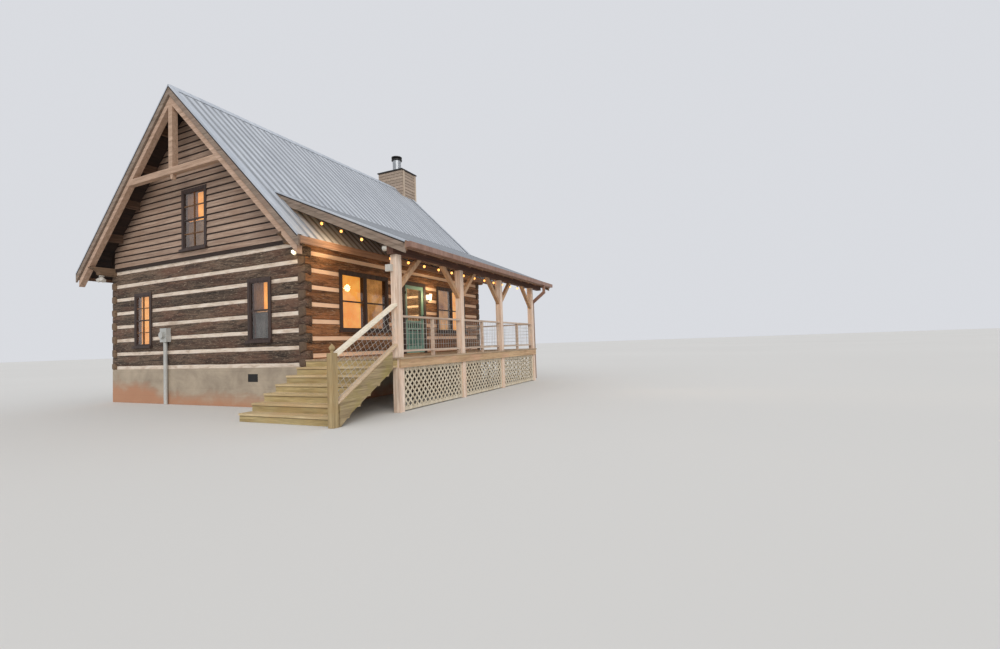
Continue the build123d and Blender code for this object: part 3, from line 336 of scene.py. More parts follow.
def hewn(name, light, dark, cut, patch, grain, start, ends=None):
    """Axe-squared log faces, one tone and one pattern for each course. ends is the colour of the
    sawn ends at the near gable, which the weather has turned grey."""
    finish = Finish(name, 0.85)
    course = finish.steps("Z", start, LOG_PITCH)[0]
    luck = finish.chance(course)
    along = finish.axis("X")
    shift = finish.add("ShaderNodeCombineXYZ", values={0: finish.maths("MULTIPLY", luck, 37.0),
                                                       1: finish.maths("MULTIPLY", luck, 19.0)}).outputs[0]
    moved = finish.add("ShaderNodeVectorMath", {"operation": "ADD"}, {0: finish.place, 1: shift})
    finish.place = moved.outputs[0]
    streaks = finish.noise(GRAIN[grain], 8.0, 0.72, 1.3)
    lines = finish.noise(FINE[grain], 3.0, 0.6)
    colour = finish.ramp(streaks, [(0.38, tint(dark)), (0.5, tint(light)), (0.62, tint(dark))])
    colour = finish.times(colour, finish.ramp(lines, [(0.38, 0.55), (0.56, 1.1)]))
    share = finish.ramp(finish.noise((0.9, 0.9, 2.4), 4.0), [(0.45, 0.0), (0.62, 0.7)])
    colour = finish.mix(share, colour, tint(patch))
    colour = finish.times(colour, finish.ramp(luck, [(0.0, 0.76), (1.0, 1.14)]))
    stains = finish.ramp(finish.noise(STAINS[grain], 5.0, 0.7, 0.8), [(0.42, 0.42), (0.52, 1.0)])
    colour = finish.mix(0.9, colour, stains, "MULTIPLY")
    cuts = finish.ramp(finish.noise(CUTS[grain], 4.0, 0.75, 1.5), [(0.6, 0.0), (0.68, 0.85)])
    colour = finish.mix(cuts, colour, tint(cut))
    flecks = finish.ramp(finish.noise(FLECKS[grain], 3.0, 0.7), [(0.58, 0.0), (0.66, 0.5)])
    colour = finish.mix(flecks, colour, tint("b7a48c"))
    if ends:
        grey = finish.ramp(finish.maths("SUBTRACT", along, corner.x), [(0.012, 1.0), (0.035, 0.0)])
        aged = finish.times(tint(ends), finish.ramp(streaks, [(0.3, 0.6), (0.6, 1.1)]))
        colour = finish.mix(grey, colour, aged)
    relief = finish.maths("ADD", streaks, lines)
    height = finish.maths("SUBTRACT", relief, finish.maths("MULTIPLY", cuts, 1.4))
    return finish.done(colour, height, 0.008)


gable_log_finish = hewn("hewn_gable_logs", "7d6755", "382b21", "1f160f", "6b4a3a", "Y", GABLE_START)
# The front wall's logs are a warm red-brown copy of the others: painted porch lamplight.
front_log_lamplight_finish = hewn("hewn_front_logs_painted_lamplight", "b07c52", "5c3a26", "2b1a10", "93603c", "X", LONG_START, "6a5645")
back_log_finish = hewn("hewn_back_logs", "7d6755", "382b21", "1f160f", "6b4a3a", "X", LONG_START, "7a624c")
print("log finishes ready")


# %% [markdown]
# Mortar fills the gaps between the logs. It is pale and sandy, smeared by hand, a little dirty in
# patches, and cracked here and there. On the front wall it is warmer and paler: painted porch lamplight.
# The foundation has a coat of cement over block: grey-beige above, and stained by red soil near the ground.

# %% Mortar and foundation finishes
def mortar():
    finish = Finish("sanded_mortar", 0.95)
    smears = finish.noise((3.0, 3.0, 14.0), 5.0, 0.6, 0.5)
    colour = finish.ramp(smears, [(0.3, tint("c3ac97")), (0.5, tint("e2d1bf")), (0.75, tint("efe4d5"))])
    dirt = finish.ramp(finish.noise((1.3, 1.3, 5.0), 4.0), [(0.52, 0.0), (0.76, 0.5)])
    colour = finish.mix(dirt, colour, tint("94806e"))
    inward = finish.maths("SUBTRACT", finish.axis("Y"), corner.y)
    # Painted light: the mortar near the front face is tinted warm and pale, for the porch lamps' glow.
    painted_porch_light = finish.ramp(inward, [(0.06, 0.75), (0.12, 0.0)])
    colour = finish.mix(painted_porch_light, colour, tint("ffd4b0"))
    grains = finish.noise((160.0, 160.0, 160.0), 2.0)
    return finish.done(colour, finish.maths("ADD", smears, finish.maths("MULTIPLY", grains, 0.4)), 0.006)


def parge():
    finish = Finish("foundation_render", 0.95)
    clouds = finish.noise((1.8, 1.8, 2.8), 6.0, 0.6, 0.4)
    colour = finish.ramp(clouds, [(0.3, tint("978978")), (0.55, tint("ae9f8b")), (0.75, tint("bcab96"))])
    low = finish.add("ShaderNodeMapRange", values={"Value": finish.axis("Z"), "From Max": 0.62}).outputs[0]
    reach = finish.maths("ADD", low, finish.maths("MULTIPLY", clouds, 0.9))
    back = finish.add("ShaderNodeMapRange", values={"Value": finish.axis("Y"), "From Min": corner.y + 4.6,
                                                    "From Max": corner.y + 6.2}).outputs[0]
    reach = finish.maths("SUBTRACT", reach, finish.maths("MULTIPLY", back, 0.45))
    soil = finish.ramp(reach, [(0.5, 0.85), (1.1, 0.0)])
    colour = finish.mix(soil, colour, tint("b98565"))
    joints = finish.ramp(finish.steps("Z", corner.z, 0.203)[1], [(0.0, 0.86), (0.05, 1.0)])
    colour = finish.times(colour, joints)
    trowel = finish.noise((22.0, 22.0, 22.0), 4.0)
    return finish.done(colour, finish.maths("ADD", trowel, joints), 0.006)


mortar_finish = mortar()
foundation_finish = parge()
print("mortar and foundation ready")


# %% [markdown]
# Metal is dull and blue-grey here, with faint streaks that rain draws down the slope. The same recipe
# with other colours serves for the wire, the flue and the brown gutter. The roof sheets get one of
# their own, with painted shade beside every rib and pale flats between.

# %% Metal finishes
def sheet_metal(name, light, dark, metallic, roughness, streak=(9.0, 0.7, 0.7), rust=None):
    finish = Finish(name, roughness, metallic)
    run = finish.noise(streak, 6.0, 0.6, 0.3)
    spangle = finish.noise((26.0, 26.0, 26.0), 3.0)
    colour = finish.ramp(run, [(0.3, tint(dark)), (0.7, tint(light))])
    colour = finish.mix(0.5, colour, finish.ramp(spangle, [(0.35, 0.8), (0.65, 1.0)]), "MULTIPLY")
    if rust:
        stain = finish.ramp(finish.noise((2.2, 0.8, 0.8), 6.0, 0.7), [(0.6, 0.0), (0.75, 0.5)])
        colour = finish.mix(stain, colour, tint(rust))
    rough = finish.ramp(spangle, [(0.3, roughness - 0.08), (0.7, roughness + 0.1)])
    return finish.done(colour, spangle, 0.0008, rough)


RIB_PITCH = 0.217
RIB_START = corner.x + 0.1


def ribbed_metal():
    """Galvanised sheet with painted shade beside each rib and pale flats between."""
    finish = Finish("ribbed_roof", 0.5, 0.25)
    run = finish.noise((9.0, 0.7, 0.7), 6.0, 0.6, 0.3)
    spangle = finish.noise((26.0, 26.0, 26.0), 3.0)
    colour = finish.ramp(run, [(0.3, tint("b9bec6")), (0.7, tint("dadfe5"))])
    across = finish.steps("X", RIB_START, RIB_PITCH)[1]
    # Painted shade: the sheet is darkened beside each rib, where its flank would throw shade.
    painted_rib_shade = finish.ramp(across, [(0.0, 0.36), (0.15, 0.4), (0.28, 0.88), (0.5, 0.97), (0.74, 0.95),
                                  (0.9, 0.52)])
    colour = finish.times(colour, painted_rib_shade)
    stain = finish.ramp(finish.noise((2.2, 0.8, 0.8), 6.0, 0.7), [(0.6, 0.0), (0.75, 0.35)])
    colour = finish.mix(stain, colour, tint("8f8a86"))
    rough = finish.ramp(spangle, [(0.3, 0.42), (0.7, 0.6)])
    return finish.done(colour, spangle, 0.0008, rough)


roof_finish = ribbed_metal()
trim_metal = sheet_metal("roof_trim", "d6dbe2", "b2b9c2", 0.25, 0.5)
# A dark strip under each rake trim stands in for the shadow there: painted shadow.
trim_shadow_finish = sheet_metal("painted_trim_shadow", "3a2c24", "1e1611", 0.1, 0.6)
gutter_finish = sheet_metal("brown_gutter", "a88472", "805f50", 0.15, 0.5)
wire_finish = sheet_metal("galvanised_wire", "d8d3ca", "a8a39c", 0.3, 0.5)
flue_finish = sheet_metal("flue_steel", "c3c6c8", "93979b", 0.7, 0.38, (0.7, 0.7, 9.0))
black_finish = sheet_metal("black_metal", "2c2a29", "191817", 0.3, 0.5)
grey_enamel = sheet_metal("grey_enamel", "d3d3cf", "aeaea8", 0.1, 0.5, (3.0, 3.0, 0.9))
white_enamel = sheet_metal("lamp_enamel", "e4e0d8", "bdb8ad", 0.05, 0.45, (3.0, 3.0, 0.9))


# %% [markdown]
# Now the other timbers, each with the grain along its own length. Trim is nearly black-brown, the
# truss is tan, the porch is warm and weathered, and the steps are green-yellow treated pine.

# %% Timber finishes
SIDING_START = corner.z + 3.68
SIDING_PITCH = 0.16
RISE = 0.15
STEP_LINE = corner.z - 0.038  # underside of the treads
# The head of each siding board is darkened: painted shadow under the board above.
siding_finish = wood("lap_siding", "bfa48f", "907563", "Y", "9a7a64", 0.5,
                     lap=("Z", SIDING_START, SIDING_PITCH))
# The flat backing behind the gable siding is near black: painted shadow in the gap under the first board.
backing_shadow_finish = wood("painted_shadow_backing", "3a281d", "24170f", "Y")
trim_finish = wood("dark_trim", "4f3c35", "2c201c", "Z", roughness=0.6, depth=0.001)
bar_finish = wood("window_bar", "8d6440", "654426", "Z", roughness=0.6, depth=0.001)
soffit_finish = wood("roof_boards", "3d281d", "20140e", "X", boards=("Y", corner.y, 0.184))
porch_ceiling = wood("porch_boards", "a87650", "6b472f", "X", boards=("Y", corner.y, 0.184))
lookout_finish = wood("lookout", "7d604b", "4c382b", "X")
truss_finish = wood("truss_timber", "d0b097", "9f8068", "Y", "b4937b")
# The fly rafter has a dark band just under the barge board: painted shadow.
fly_finish = wood("fly_rafter", "d6b69f", "a5866e", "Y", "b4937b", shadow_band=(0.24, 0.272))
barge_finish = wood("barge_board", "a79484", "746353", "Y", "8f7363")
fascia_finish = wood("fascia_board", "b08a70", "7c5e4a", "X")
# The porch beam is darkened to near black-brown: painted shade under the gutter.
beam_painted_shade_finish = wood("porch_beam", "704a37", "3d261c", "X", "5a3526")
post_finish = wood("porch_post", "fbe7d4", "cfae94", "Z", "e6c2a6")
brace_finish = wood("knee_brace", "d9b289", "a0775a", "Z", "c3936a")
rafter_finish = wood("porch_rafter", "9a6e50", "664733", "Y")
rail_finish = wood("porch_rail", "dfcab5", "ab8f7a", "X", "c4a48d")
rim_finish = wood("deck_rim", "dbba90", "ab8763", "X", "cf9f85")
step_finish = wood("stair_tread", "e6cfa4", "b39a6c", "Y", "c9a67a")
# Each riser is darkened just under the tread above: painted shadow.
riser_finish = wood("stair_riser", "cdb988", "9b8558", "Y", "b29560", lap=("Z", STEP_LINE, RISE))
stringer_finish = wood("stair_stringer", "bfa982", "725f43", "X", "95873c", 0.7)
handrail_finish = wood("stair_rail", "fff6e4", "ecdcc0", "X", "f2e0c4", lower=1.6)
newel_finish = wood("newel_post", "c9b184", "86704b", "Z", "a98c5e", 0.8)
lattice_finish = wood("lattice_strip", "eee2cb", "b9a98e", "Z", "d3c2a6")
deck_finish = wood("deck_board", "c6ad8e", "8f7860", "X", "ab8e72")
floor_finish = wood("floor_board", "a9794d", "74502f", "X", boards=("Y", corner.y, 0.14))
chase_finish = wood("chimney_plain", "b9a594", "8b7a6b", "X", "a08b7a")
corner_finish = wood("chimney_corner", "dccab4", "b09a85", "Z")


# %% [markdown]
# Three finishes are not wood, stone or metal: the teal gloss paint of the screen door, clear glass,
# and insect screen, which is a fine dark mesh that lets light through.

# %% Paint, glass and screen finishes
def teal_paint(name, shades):
    finish = Finish(name, 0.42)
    brush = finish.noise((60.0, 60.0, 4.0), 3.0)
    fade = finish.noise((2.0, 2.0, 2.0), 4.0)
    colour = finish.ramp(fade, [(0.3, tint(shades[1])), (0.7, tint(shades[0]))])
    chips = finish.ramp(finish.noise((30.0, 30.0, 18.0), 4.0), [(0.68, 0.0), (0.72, 0.6)])
    colour = finish.mix(chips, colour, tint("27554c"))
    return finish.done(colour, brush, 0.0008)


def clear_glass():
    finish = Finish("window_glass", 0.03)
    ripple = finish.noise((3.0, 3.0, 3.0), 2.0)
    colour = finish.ramp(ripple, [(0.0, tint("f4f1ea")), (1.0, tint("ffffff"))])
    finish.shader.inputs["Transmission Weight"].default_value = 1.0
    finish.shader.inputs["IOR"].default_value = 1.45
    return finish.done(colour, ripple, 0.002)


def insect_screen():
    finish = Finish("insect_screen", 0.8)
    weave = finish.noise((260.0, 260.0, 260.0), 1.0)
    colour = finish.ramp(weave, [(0.3, tint("1d1c1b")), (0.7, tint("4b4742"))])
    finish.shader.inputs["Alpha"].default_value = 0.3
    return finish.done(colour, weave, 0.0005)


def glowing(name, colour, strength, folds=0.0):
    """Cloth or glass that glows by its own emission: painted light on the cloth, the lamp's own light on
    bulbs, lenses and lantern glass.
    """
    finish = Finish(name, 0.9)
    cloud = finish.noise((1.6, 1.6, 2.2), 3.0)
    thread = finish.noise((90.0, 90.0, 20.0), 2.0)
    base = finish.ramp(cloud, [(0.3, tint(colour[1])), (0.7, tint(colour[0]))])
    base = finish.mix(0.5, base, finish.ramp(thread, [(0.3, 0.8), (0.7, 1.0)]), "MULTIPLY")
    finish.tree.links.new(base, finish.shader.inputs["Emission Color"])
    finish.shader.inputs["Emission Strength"].default_value = strength
    return finish.done(base, thread, 0.001)


paint_finish = teal_paint("teal_paint", ("8fb8a8", "66988a"))
panel_finish = teal_paint("deep_teal_paint", ("4f8677", "33564c"))
glass_finish = clear_glass()
screen_finish = insect_screen()
shade_finish = teal_paint("dark_inset", ("20352f", "101c19"))
# The curtains, drapes and blind glow by emission: painted light for the lit room behind them.
curtain_finish = glowing("lit_curtain", ("fbb45a", "e08c34"), 0.9)
cream_finish = glowing("cream_curtain", ("e6ac66", "8a5430"), 0.5)
lantern_finish = glowing("lantern_glass", ("fff0cf", "ffdc9c"), 2.5)
drape_finish = glowing("brown_drape", ("a9774e", "6b452d"), 0.2)
lace_finish = glowing("dim_curtain", ("b08a66", "6f5340"), 0.22)
blind_finish = glowing("grey_blind", ("86827f", "5c5855"), 0.06)
bulb_finish = glowing("warm_bulb", ("ffb866", "ffa550"), 2.4)
flood_finish = glowing("flood_lens", ("fff6dc", "ffeec0"), 6.0)


# %% [markdown]
# The solids that are right as they are only get their finish. The list reads like a paint schedule.

# %% Finishes on the solids that stay
SCHEDULE = {
    "chinking": mortar_finish, "long_foundations": foundation_finish, "end_foundations": foundation_finish,
    "foundation_vents": black_finish, "floor": floor_finish, "window_frames": trim_finish,
    "window_glass": glass_finish, "door_frame": trim_finish, "frame_hinges": black_finish,
    "screen_door": paint_finish, "door_hardware": black_finish, "door_screen": screen_finish,
    "front_roof": soffit_finish, "back_roof": soffit_finish, "porch_roof": porch_ceiling,
    "ridge_cap": trim_metal, "eave_friezes": fascia_finish, "fascia_boards": fascia_finish,
    "barge_boards": barge_finish, "fly_rafters": fly_finish, "collar_beams": truss_finish,
    "king_post": truss_finish, "rake_lookouts": lookout_finish, "gable_siding": backing_shadow_finish,
    "chimney_chase": chase_finish, "chimney_caps": black_finish, "flue_pipe": flue_finish,
    "porch_posts": post_finish, "porch_beam": beam_painted_shade_finish, "knee_braces": brace_finish,
    "porch_rafters": rafter_finish, "porch_gutter": gutter_finish, "downspout": gutter_finish,
    "deck_frame": rim_finish, "deck_joists": rafter_finish, "railings": rail_finish,
    "stair_treads": step_finish, "stair_risers": riser_finish, "stair_stringers": stringer_finish,
    "newel_post": newel_finish, "stair_rails": handrail_finish, "meter_box": grey_enamel,
    "outside_lamps": white_enamel,
}
for node, finish in SCHEDULE.items():
    nodes[node].data.materials.clear()
    nodes[node].data.materials.append(finish)
print("finished", len(SCHEDULE), "of", len(nodes), "nodes")


# %% [markdown]
# What repeats is made with Geometry Nodes: one tree for each kind of row, with its sizes as inputs.
# This helper builds a tree, and the next one runs it on an empty object and keeps a plain mesh.

# %% A helper that builds Geometry Nodes trees
class Grower:
    """A Geometry Nodes tree with named inputs."""

    def __init__(self, name, inputs):
        self.tree = bpy.data.node_groups.new(name, "GeometryNodeTree")
        face = self.tree.interface
        face.new_socket("Geometry", in_out="INPUT", socket_type="NodeSocketGeometry")
        face.new_socket("Geometry", in_out="OUTPUT", socket_type="NodeSocketGeometry")
        self.keys = {}
        for label, kind in inputs:
            socket = face.new_socket(label, in_out="INPUT", socket_type="NodeSocket" + kind)
            self.keys[label] = socket.identifier
        self.entry = self.tree.nodes.new("NodeGroupInput")
        self.exit = self.tree.nodes.new("NodeGroupOutput")

    def given(self, label):
        return self.entry.outputs[label]

    def add(self, kind, settings=None, values=None):
        node = self.tree.nodes.new(kind)
        for name, value in (settings or {}).items():
            setattr(node, name, value)
        for name, value in (values or {}).items():
            for part in value if isinstance(value, list) else [value]:
                if isinstance(part, bpy.types.NodeSocket):
                    self.tree.links.new(part, node.inputs[name])
                else:
                    node.inputs[name].default_value = part
        return node

    def maths(self, way, first, second=0.0):
        return self.add("ShaderNodeMath", {"operation": way}, {0: first, 1: second}).outputs[0]

    def vector(self, x=0.0, y=0.0, z=0.0):
        return self.add("ShaderNodeCombineXYZ", values={"X": x, "Y": y, "Z": z}).outputs[0]

    def parts_of(self, vector):
        return self.add("ShaderNodeSeparateXYZ", values={0: vector}).outputs

    def here(self):
        return self.parts_of(self.add("GeometryNodeInputPosition").outputs[0])

    def row(self, item, count, step, start=None):
        """Copies of a shape in a straight row."""
        values = {"Count": count, "Offset": step}
        if start:
            values["Start Location"] = start
        line = self.add("GeometryNodeMeshLine", {"mode": "OFFSET"}, values)
        values = {"Points": line.outputs[0], "Instance": item}
        return self.add("GeometryNodeInstanceOnPoints", values=values).outputs[0]

    def above(self, first, second):
        """True where the first value is greater."""
        settings = {"data_type": "FLOAT", "operation": "GREATER_THAN"}
        return self.add("FunctionNodeCompare", settings, {0: first, 1: second}).outputs[0]

    def scaled(self, vector, factor):
        values = {0: vector, "Scale": factor}
        return self.add("ShaderNodeVectorMath", {"operation": "SCALE"}, values).outputs[0]

    def moved(self, shape, offset, chosen=True):
        """A shape with its points, or the chosen ones, moved by an offset."""
        values = {"Geometry": shape, "Offset": offset, "Selection": chosen}
        return self.add("GeometryNodeSetPosition", values=values).outputs[0]

    def placed(self, shape, values):
        """A shape with a Translation, Rotation or Scale."""
        return self.add("GeometryNodeTransform", values={"Geometry": shape, **values}).outputs[0]

    def real(self, shape):
        return self.add("GeometryNodeRealizeInstances", values={"Geometry": shape}).outputs[0]

    def joined(self, shapes):
        return self.add("GeometryNodeJoinGeometry", values={0: shapes}).outputs[0]

    def clipped(self, shape):
        """The part of a shape inside the object given as Clip."""
        clip = self.add("GeometryNodeObjectInfo", values={"Object": self.given("Clip")})
        settings = {"operation": "INTERSECT", "solver": "EXACT"}
        values = {1: [shape, clip.outputs["Geometry"]]}
        return self.add("GeometryNodeMeshBoolean", settings, values).outputs[0]

    def painted(self, shape, label="Material"):
        """Real geometry with a material from the inputs."""
        values = {"Geometry": self.real(shape), "Material": self.given(label)}
        return self.add("GeometryNodeSetMaterial", values=values).outputs[0]

    def finish(self, shape):
        """Ends the tree with real geometry and the piece's material."""
        self.end(self.painted(shape))

    def end(self, shape):
        self.tree.links.new(shape, self.exit.inputs[0])


def grow(name, grower, values, place=None, start=None):
    """Runs a tree, keeps its result as a plain mesh and moves that mesh to its place."""
    piece = add_piece(name, start or bpy.data.meshes.new(name + "_start"))
    step = piece.modifiers.new("grow", "NODES")
    step.node_group = grower.tree
    for label, value in values.items():
        step[grower.keys[label]] = value
    shape = bake(piece)
    if place:
        shape.transform(place)
    return piece


def join(name, pieces):
    """Joins several pieces into one mesh and removes them."""
    form = bmesh.new()
    materials = []
    for piece in pieces:
        first = len(materials)
        materials += list(piece.data.materials)
        start = len(form.faces)
        form.from_mesh(piece.data)
        form.faces.ensure_lookup_table()
        for face in form.faces[start:]:
            face.material_index += first
    mesh = mesh_of(name, form)
    kinds = []
    for material in materials:
        if material not in kinds:
            kinds.append(material)
    indices = [kinds.index(materials[face.material_index]) for face in mesh.polygons]
    for material in kinds:
        mesh.materials.append(material)
    for face, index in zip(mesh.polygons, indices):
        face.material_index = index
    for piece in pieces:
        bpy.data.objects.remove(piece)
    return add_piece(name, mesh)


def axes(origin, first, second, third):
    """A placing matrix from an origin and three directions."""
    matrix = Matrix((first, second, third)).transposed().to_4x4()
    matrix.translation = origin
    return matrix


# %% [markdown]
# The logs themselves are the cabin's main material. Each wall's squared logs are remeshed to a fine
# grid with softened edges, and a Geometry Nodes tree then pushes the surface out by up to 11 mm: a
# slow wave for the sweep of the axe and short dents across the grain. It only pushes outwards, so
# the mortar behind the edges never opens a gap.

# %% Hewn logs
def hewing_tree():
    grower = Grower("hewing", [("Along", "Vector"), ("Across", "Vector"), ("Sweep", "Float"),
                               ("Dents", "Float"), ("Material", "Material")])
    place = grower.add("GeometryNodeInputPosition").outputs[0]
    heights = []
    for scale, depth in [("Along", "Sweep"), ("Across", "Dents")]:
        factors = {0: place, 1: grower.given(scale)}
        spread = grower.add("ShaderNodeVectorMath", {"operation": "MULTIPLY"}, factors)
        values = {"Vector": spread.outputs[0], "Scale": 1.0, "Detail": 2.0}
        wave = grower.add("ShaderNodeTexNoise", values=values).outputs[0]
        wave = grower.add("ShaderNodeMapRange", values={"Value": wave, "From Min": 0.3, "From Max": 0.7})
        heights.append(grower.maths("MULTIPLY", wave.outputs[0], grower.given(depth)))
    height = grower.maths("ADD", *heights)
    normal = grower.add("GeometryNodeInputNormal").outputs[0]
    grower.finish(grower.moved(grower.given("Geometry"), grower.scaled(normal, height)))
    return grower


LOG_VOXEL = 0.034
SWEEP_DEPTH = 0.008
DENT_DEPTH = 0.003
LOG_WALLS = {
    "near_gable_logs": (gable_log_finish, "logs", "Y"),
    "far_gable_logs": (gable_log_finish, "logs", "Y"),
    "back_wall_logs": (back_log_finish, "logs", "X"),
    "front_wall_logs": (front_log_lamplight_finish, "front_logs", "X"),
}
SWEEP_SCALE = {"X": (1.1, 4.0, 5.0), "Y": (4.0, 1.1, 5.0)}
DENT_SCALE = {"X": (11.0, 8.0, 5.0), "Y": (8.0, 11.0, 5.0)}
hewing = hewing_tree()


def soften(mesh, size):
    """Rebuilds a closed mesh on an even grid, which rounds its edges."""
    piece = add_piece("soften", mesh)
    step = piece.modifiers.new("grid", "REMESH")
    step.mode = "VOXEL"
    step.voxel_size = size
    shape = bake(piece)
    bpy.data.objects.remove(piece)
    return shape


for node, (finish, slot, grain) in LOG_WALLS.items():
    even = soften(merged_mesh(node), LOG_VOXEL)
    sizes = {"Along": SWEEP_SCALE[grain], "Across": DENT_SCALE[grain], "Sweep": SWEEP_DEPTH,
             "Dents": DENT_DEPTH, "Material": finish}
    logs = grow("hewn_" + node, hewing, sizes, start=even)
    logs.data.shade_smooth()
    settle(logs, "cabin", [node])


# %% [markdown]
# The roof is ribbed sheet: wide flat pans between trapezoid ribs, with two low ribs in each pan. The
# shape is the same all down the slope, so the tree makes a flat grid with eighteen columns to each
# pitch and lifts the columns by their place in it. Under the porch roof the sheet lies flat, so that
# it stays clear of the rafters that stand on it.

# %% Ribbed roof sheets
RIB_HEIGHT = 0.018
LOW_RIB = 0.003
RIB_COLUMNS = 18
PAN_BELOW = 0.0125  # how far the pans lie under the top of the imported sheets
SHEET_THICK = 0.0015
# Each rib: its middle as a share of the pitch, half its top, half its foot and the input for its height
RIB_KINDS = [(0.0, 0.065, 0.105, "Height"), (0.333, 0.02, 0.05, "Low Height")]


def ribbed_tree():
    grower = Grower("ribbed_sheet", [("Width", "Float"), ("Length", "Float"), ("Pitch", "Float"),
                                     ("Height", "Float"), ("Low Height", "Float"), ("Phase", "Float"),
                                     ("Material", "Material")])
    ribs = grower.maths("DIVIDE", grower.given("Width"), grower.given("Pitch"))
    count = grower.maths("ROUND", grower.maths("MULTIPLY", ribs, float(RIB_COLUMNS)))
    columns = grower.maths("ADD", count, 1.0)
    values = {"Size X": grower.given("Width"), "Size Y": grower.given("Length")}
    values.update({"Vertices X": columns, "Vertices Y": 2})
    grid = grower.add("GeometryNodeMeshGrid", values=values).outputs[0]
    shifted = grower.maths("ADD", grower.here()["X"], grower.given("Phase"))
    share = grower.maths("FRACT", grower.maths("DIVIDE", shifted, grower.given("Pitch")))
    away = grower.maths("ABSOLUTE", grower.maths("SUBTRACT", share, 0.5))
    centred = grower.maths("SUBTRACT", 0.5, away)  # 0 on a rib, 0.5 half way to the next
    lifts = []
    for middle, half, foot, label in RIB_KINDS:
        apart = grower.maths("ABSOLUTE", grower.maths("SUBTRACT", centred, middle))
        ramp = grower.add("ShaderNodeMapRange", values={"Value": apart, "From Min": foot, "From Max": half})
        lifts.append(grower.maths("MULTIPLY", ramp.outputs[0], grower.given(label)))
    grower.finish(grower.moved(grid, grower.vector(z=grower.maths("ADD", *lifts))))
    return grower


ribbed = ribbed_tree()
PORCH_SLOPE = 0.445
SPRING_ACROSS = 0.71  # where the porch roof leaves the main slope
SPRING_UP = 4.77295


def slope_axes(low, high, side):
    """Two points of a slope as places, with the directions along the ridge, up the slope and out."""
    points = [at(0, RIDGE_ACROSS + side * (across - RIDGE_ACROSS), up) for across, up in (low, high)]
    upward = (points[1] - points[0]).normalized()
    across = Vector((side, 0, 0))
    return points, across, upward, across.cross(upward)


def roof_strip(name, x0, x1, low, high, side=1, ribs=1.0):
    """A sheet between two points of the slope. side is -1 on the back slope, and ribs is 0 for a flat one."""
    points, across, upward, normal = slope_axes(low, high, side)
    middle = (points[0] + points[1]) / 2 + Vector(((x0 + x1) / 2, 0, 0)) - normal * PAN_BELOW
    phase = side * ((x0 + x1) / 2 - (RIB_START - corner.x))
    sizes = {"Width": x1 - x0, "Length": (points[1] - points[0]).length, "Pitch": RIB_PITCH,
             "Height": RIB_HEIGHT * ribs, "Low Height": LOW_RIB * ribs, "Phase": phase,
             "Material": roof_finish}
    return grow(name, ribbed, sizes, axes(middle, across, upward, normal))


def main_slope(across):
    return (across, RIDGE_UP - ROOF_SLOPE * (RIDGE_ACROSS - across))


def porch_slope(across):
    return (across, SPRING_UP + PORCH_SLOPE * (across - SPRING_ACROSS))


SHEET_NEAR = -0.577
SHEET_FAR = 8.79
PORCH_NEAR = -0.13
PORCH_FAR = 8.13
CHASE_NEAR = 8.05
EAVE = main_slope(-0.513)
SPRING = main_slope(0.70)
SPRING_LAP = main_slope(0.72)  # the side strips reach a little under the sheets above them
TOP = main_slope(3.66)
CHASE_FRONT = main_slope(3.30)
CHASE_BACK = main_slope(2.88)
PORCH_LOW = porch_slope(-2.735)
porch_metal = roof_strip("porch_metal", PORCH_NEAR, PORCH_FAR, PORCH_LOW, porch_slope(SPRING_ACROSS))
main_metal = join("front_metal", [
    roof_strip("a", SHEET_NEAR, CHASE_NEAR, SPRING, TOP),
    roof_strip("b", CHASE_NEAR, SHEET_FAR, SPRING, CHASE_FRONT),
    roof_strip("c", SHEET_NEAR, PORCH_NEAR, EAVE, SPRING_LAP),
    roof_strip("d", PORCH_FAR, SHEET_FAR, EAVE, SPRING_LAP),
    roof_strip("under", PORCH_NEAR, PORCH_FAR, EAVE, SPRING, ribs=0.0),
])
back_metal = join("back_metal", [
    roof_strip("e", SHEET_NEAR, CHASE_NEAR, EAVE, TOP, -1),
    roof_strip("f", CHASE_NEAR, SHEET_FAR, EAVE, CHASE_BACK, -1),
])
for metal in (porch_metal, main_metal, back_metal):
    solid = metal.modifiers.new("thickness", "SOLIDIFY")
    solid.thickness = SHEET_THICK
    solid.offset = 0.0
    settle(metal, "cabin", ["roof_sheets"])


# %% [markdown]
# A folded strip covers the raw end of the sheets along each rake: a flat top over the first rib and a
# face turned down over the barge board. Under it lies a dark strip that is painted shadow. Each one is
# three long bars, drawn flat and then laid on the slope.

# %% Rake trims
TRIM_OVER = 0.0065  # the flat top lies just over the ribs
TRIM_THICK = 0.002
TRIM_FACE = 0.026
SHADOW_STRIP_FOOT = 0.052
NEAR_RAKE = (-0.6225, -0.49)  # outer and inner edge of the trim, along the house
FAR_RAKE = (8.8325, 8.66)
PORCH_RAKES = [((-0.1455, 0.03), -0.1325), ((8.1455, 7.97), 8.1325)]  # trim edges, face of the barge board
TRIM_PAST = 0.006  # how far a trim runs on past the head of its slope
BOARD_THICK = 0.01
BOARD_FACE = 0.12
BOARD_START = 0.02


def rake_trim(edges, low, high, side=1):
    """The pale fold along one rake, and under it a dark strip of painted shadow."""
    outer, inner = edges
    points, across, upward, normal = slope_axes(low, high, side)
    length = (points[1] - points[0]).length + TRIM_PAST
    turn = 1 if inner > outer else -1
    pale = []
    spans = [((outer, inner), (TRIM_OVER, TRIM_OVER + TRIM_THICK)),
             ((outer, outer + turn * TRIM_THICK), (-TRIM_FACE, TRIM_OVER))]
    for (x0, x1), (n0, n1) in spans:
        ends = sorted((side * x0, side * x1))
        pale.append(((ends[0], 0.0, n0), (ends[1], length, n1)))
    ends = sorted((side * (outer + turn * 0.001), side * (outer + turn * 0.004)))
    # Painted shadow: a dark strip on the barge board just under the trim's face.
    dark = [((ends[0], 0.0, -SHADOW_STRIP_FOOT), (ends[1], length, -TRIM_FACE))]
    pieces = [bars_piece("trim", pale, trim_metal), bars_piece("trim", dark, trim_shadow_finish)]
    for piece in pieces:
        piece.data.transform(axes(points[0], across, upward, normal))
    return pieces


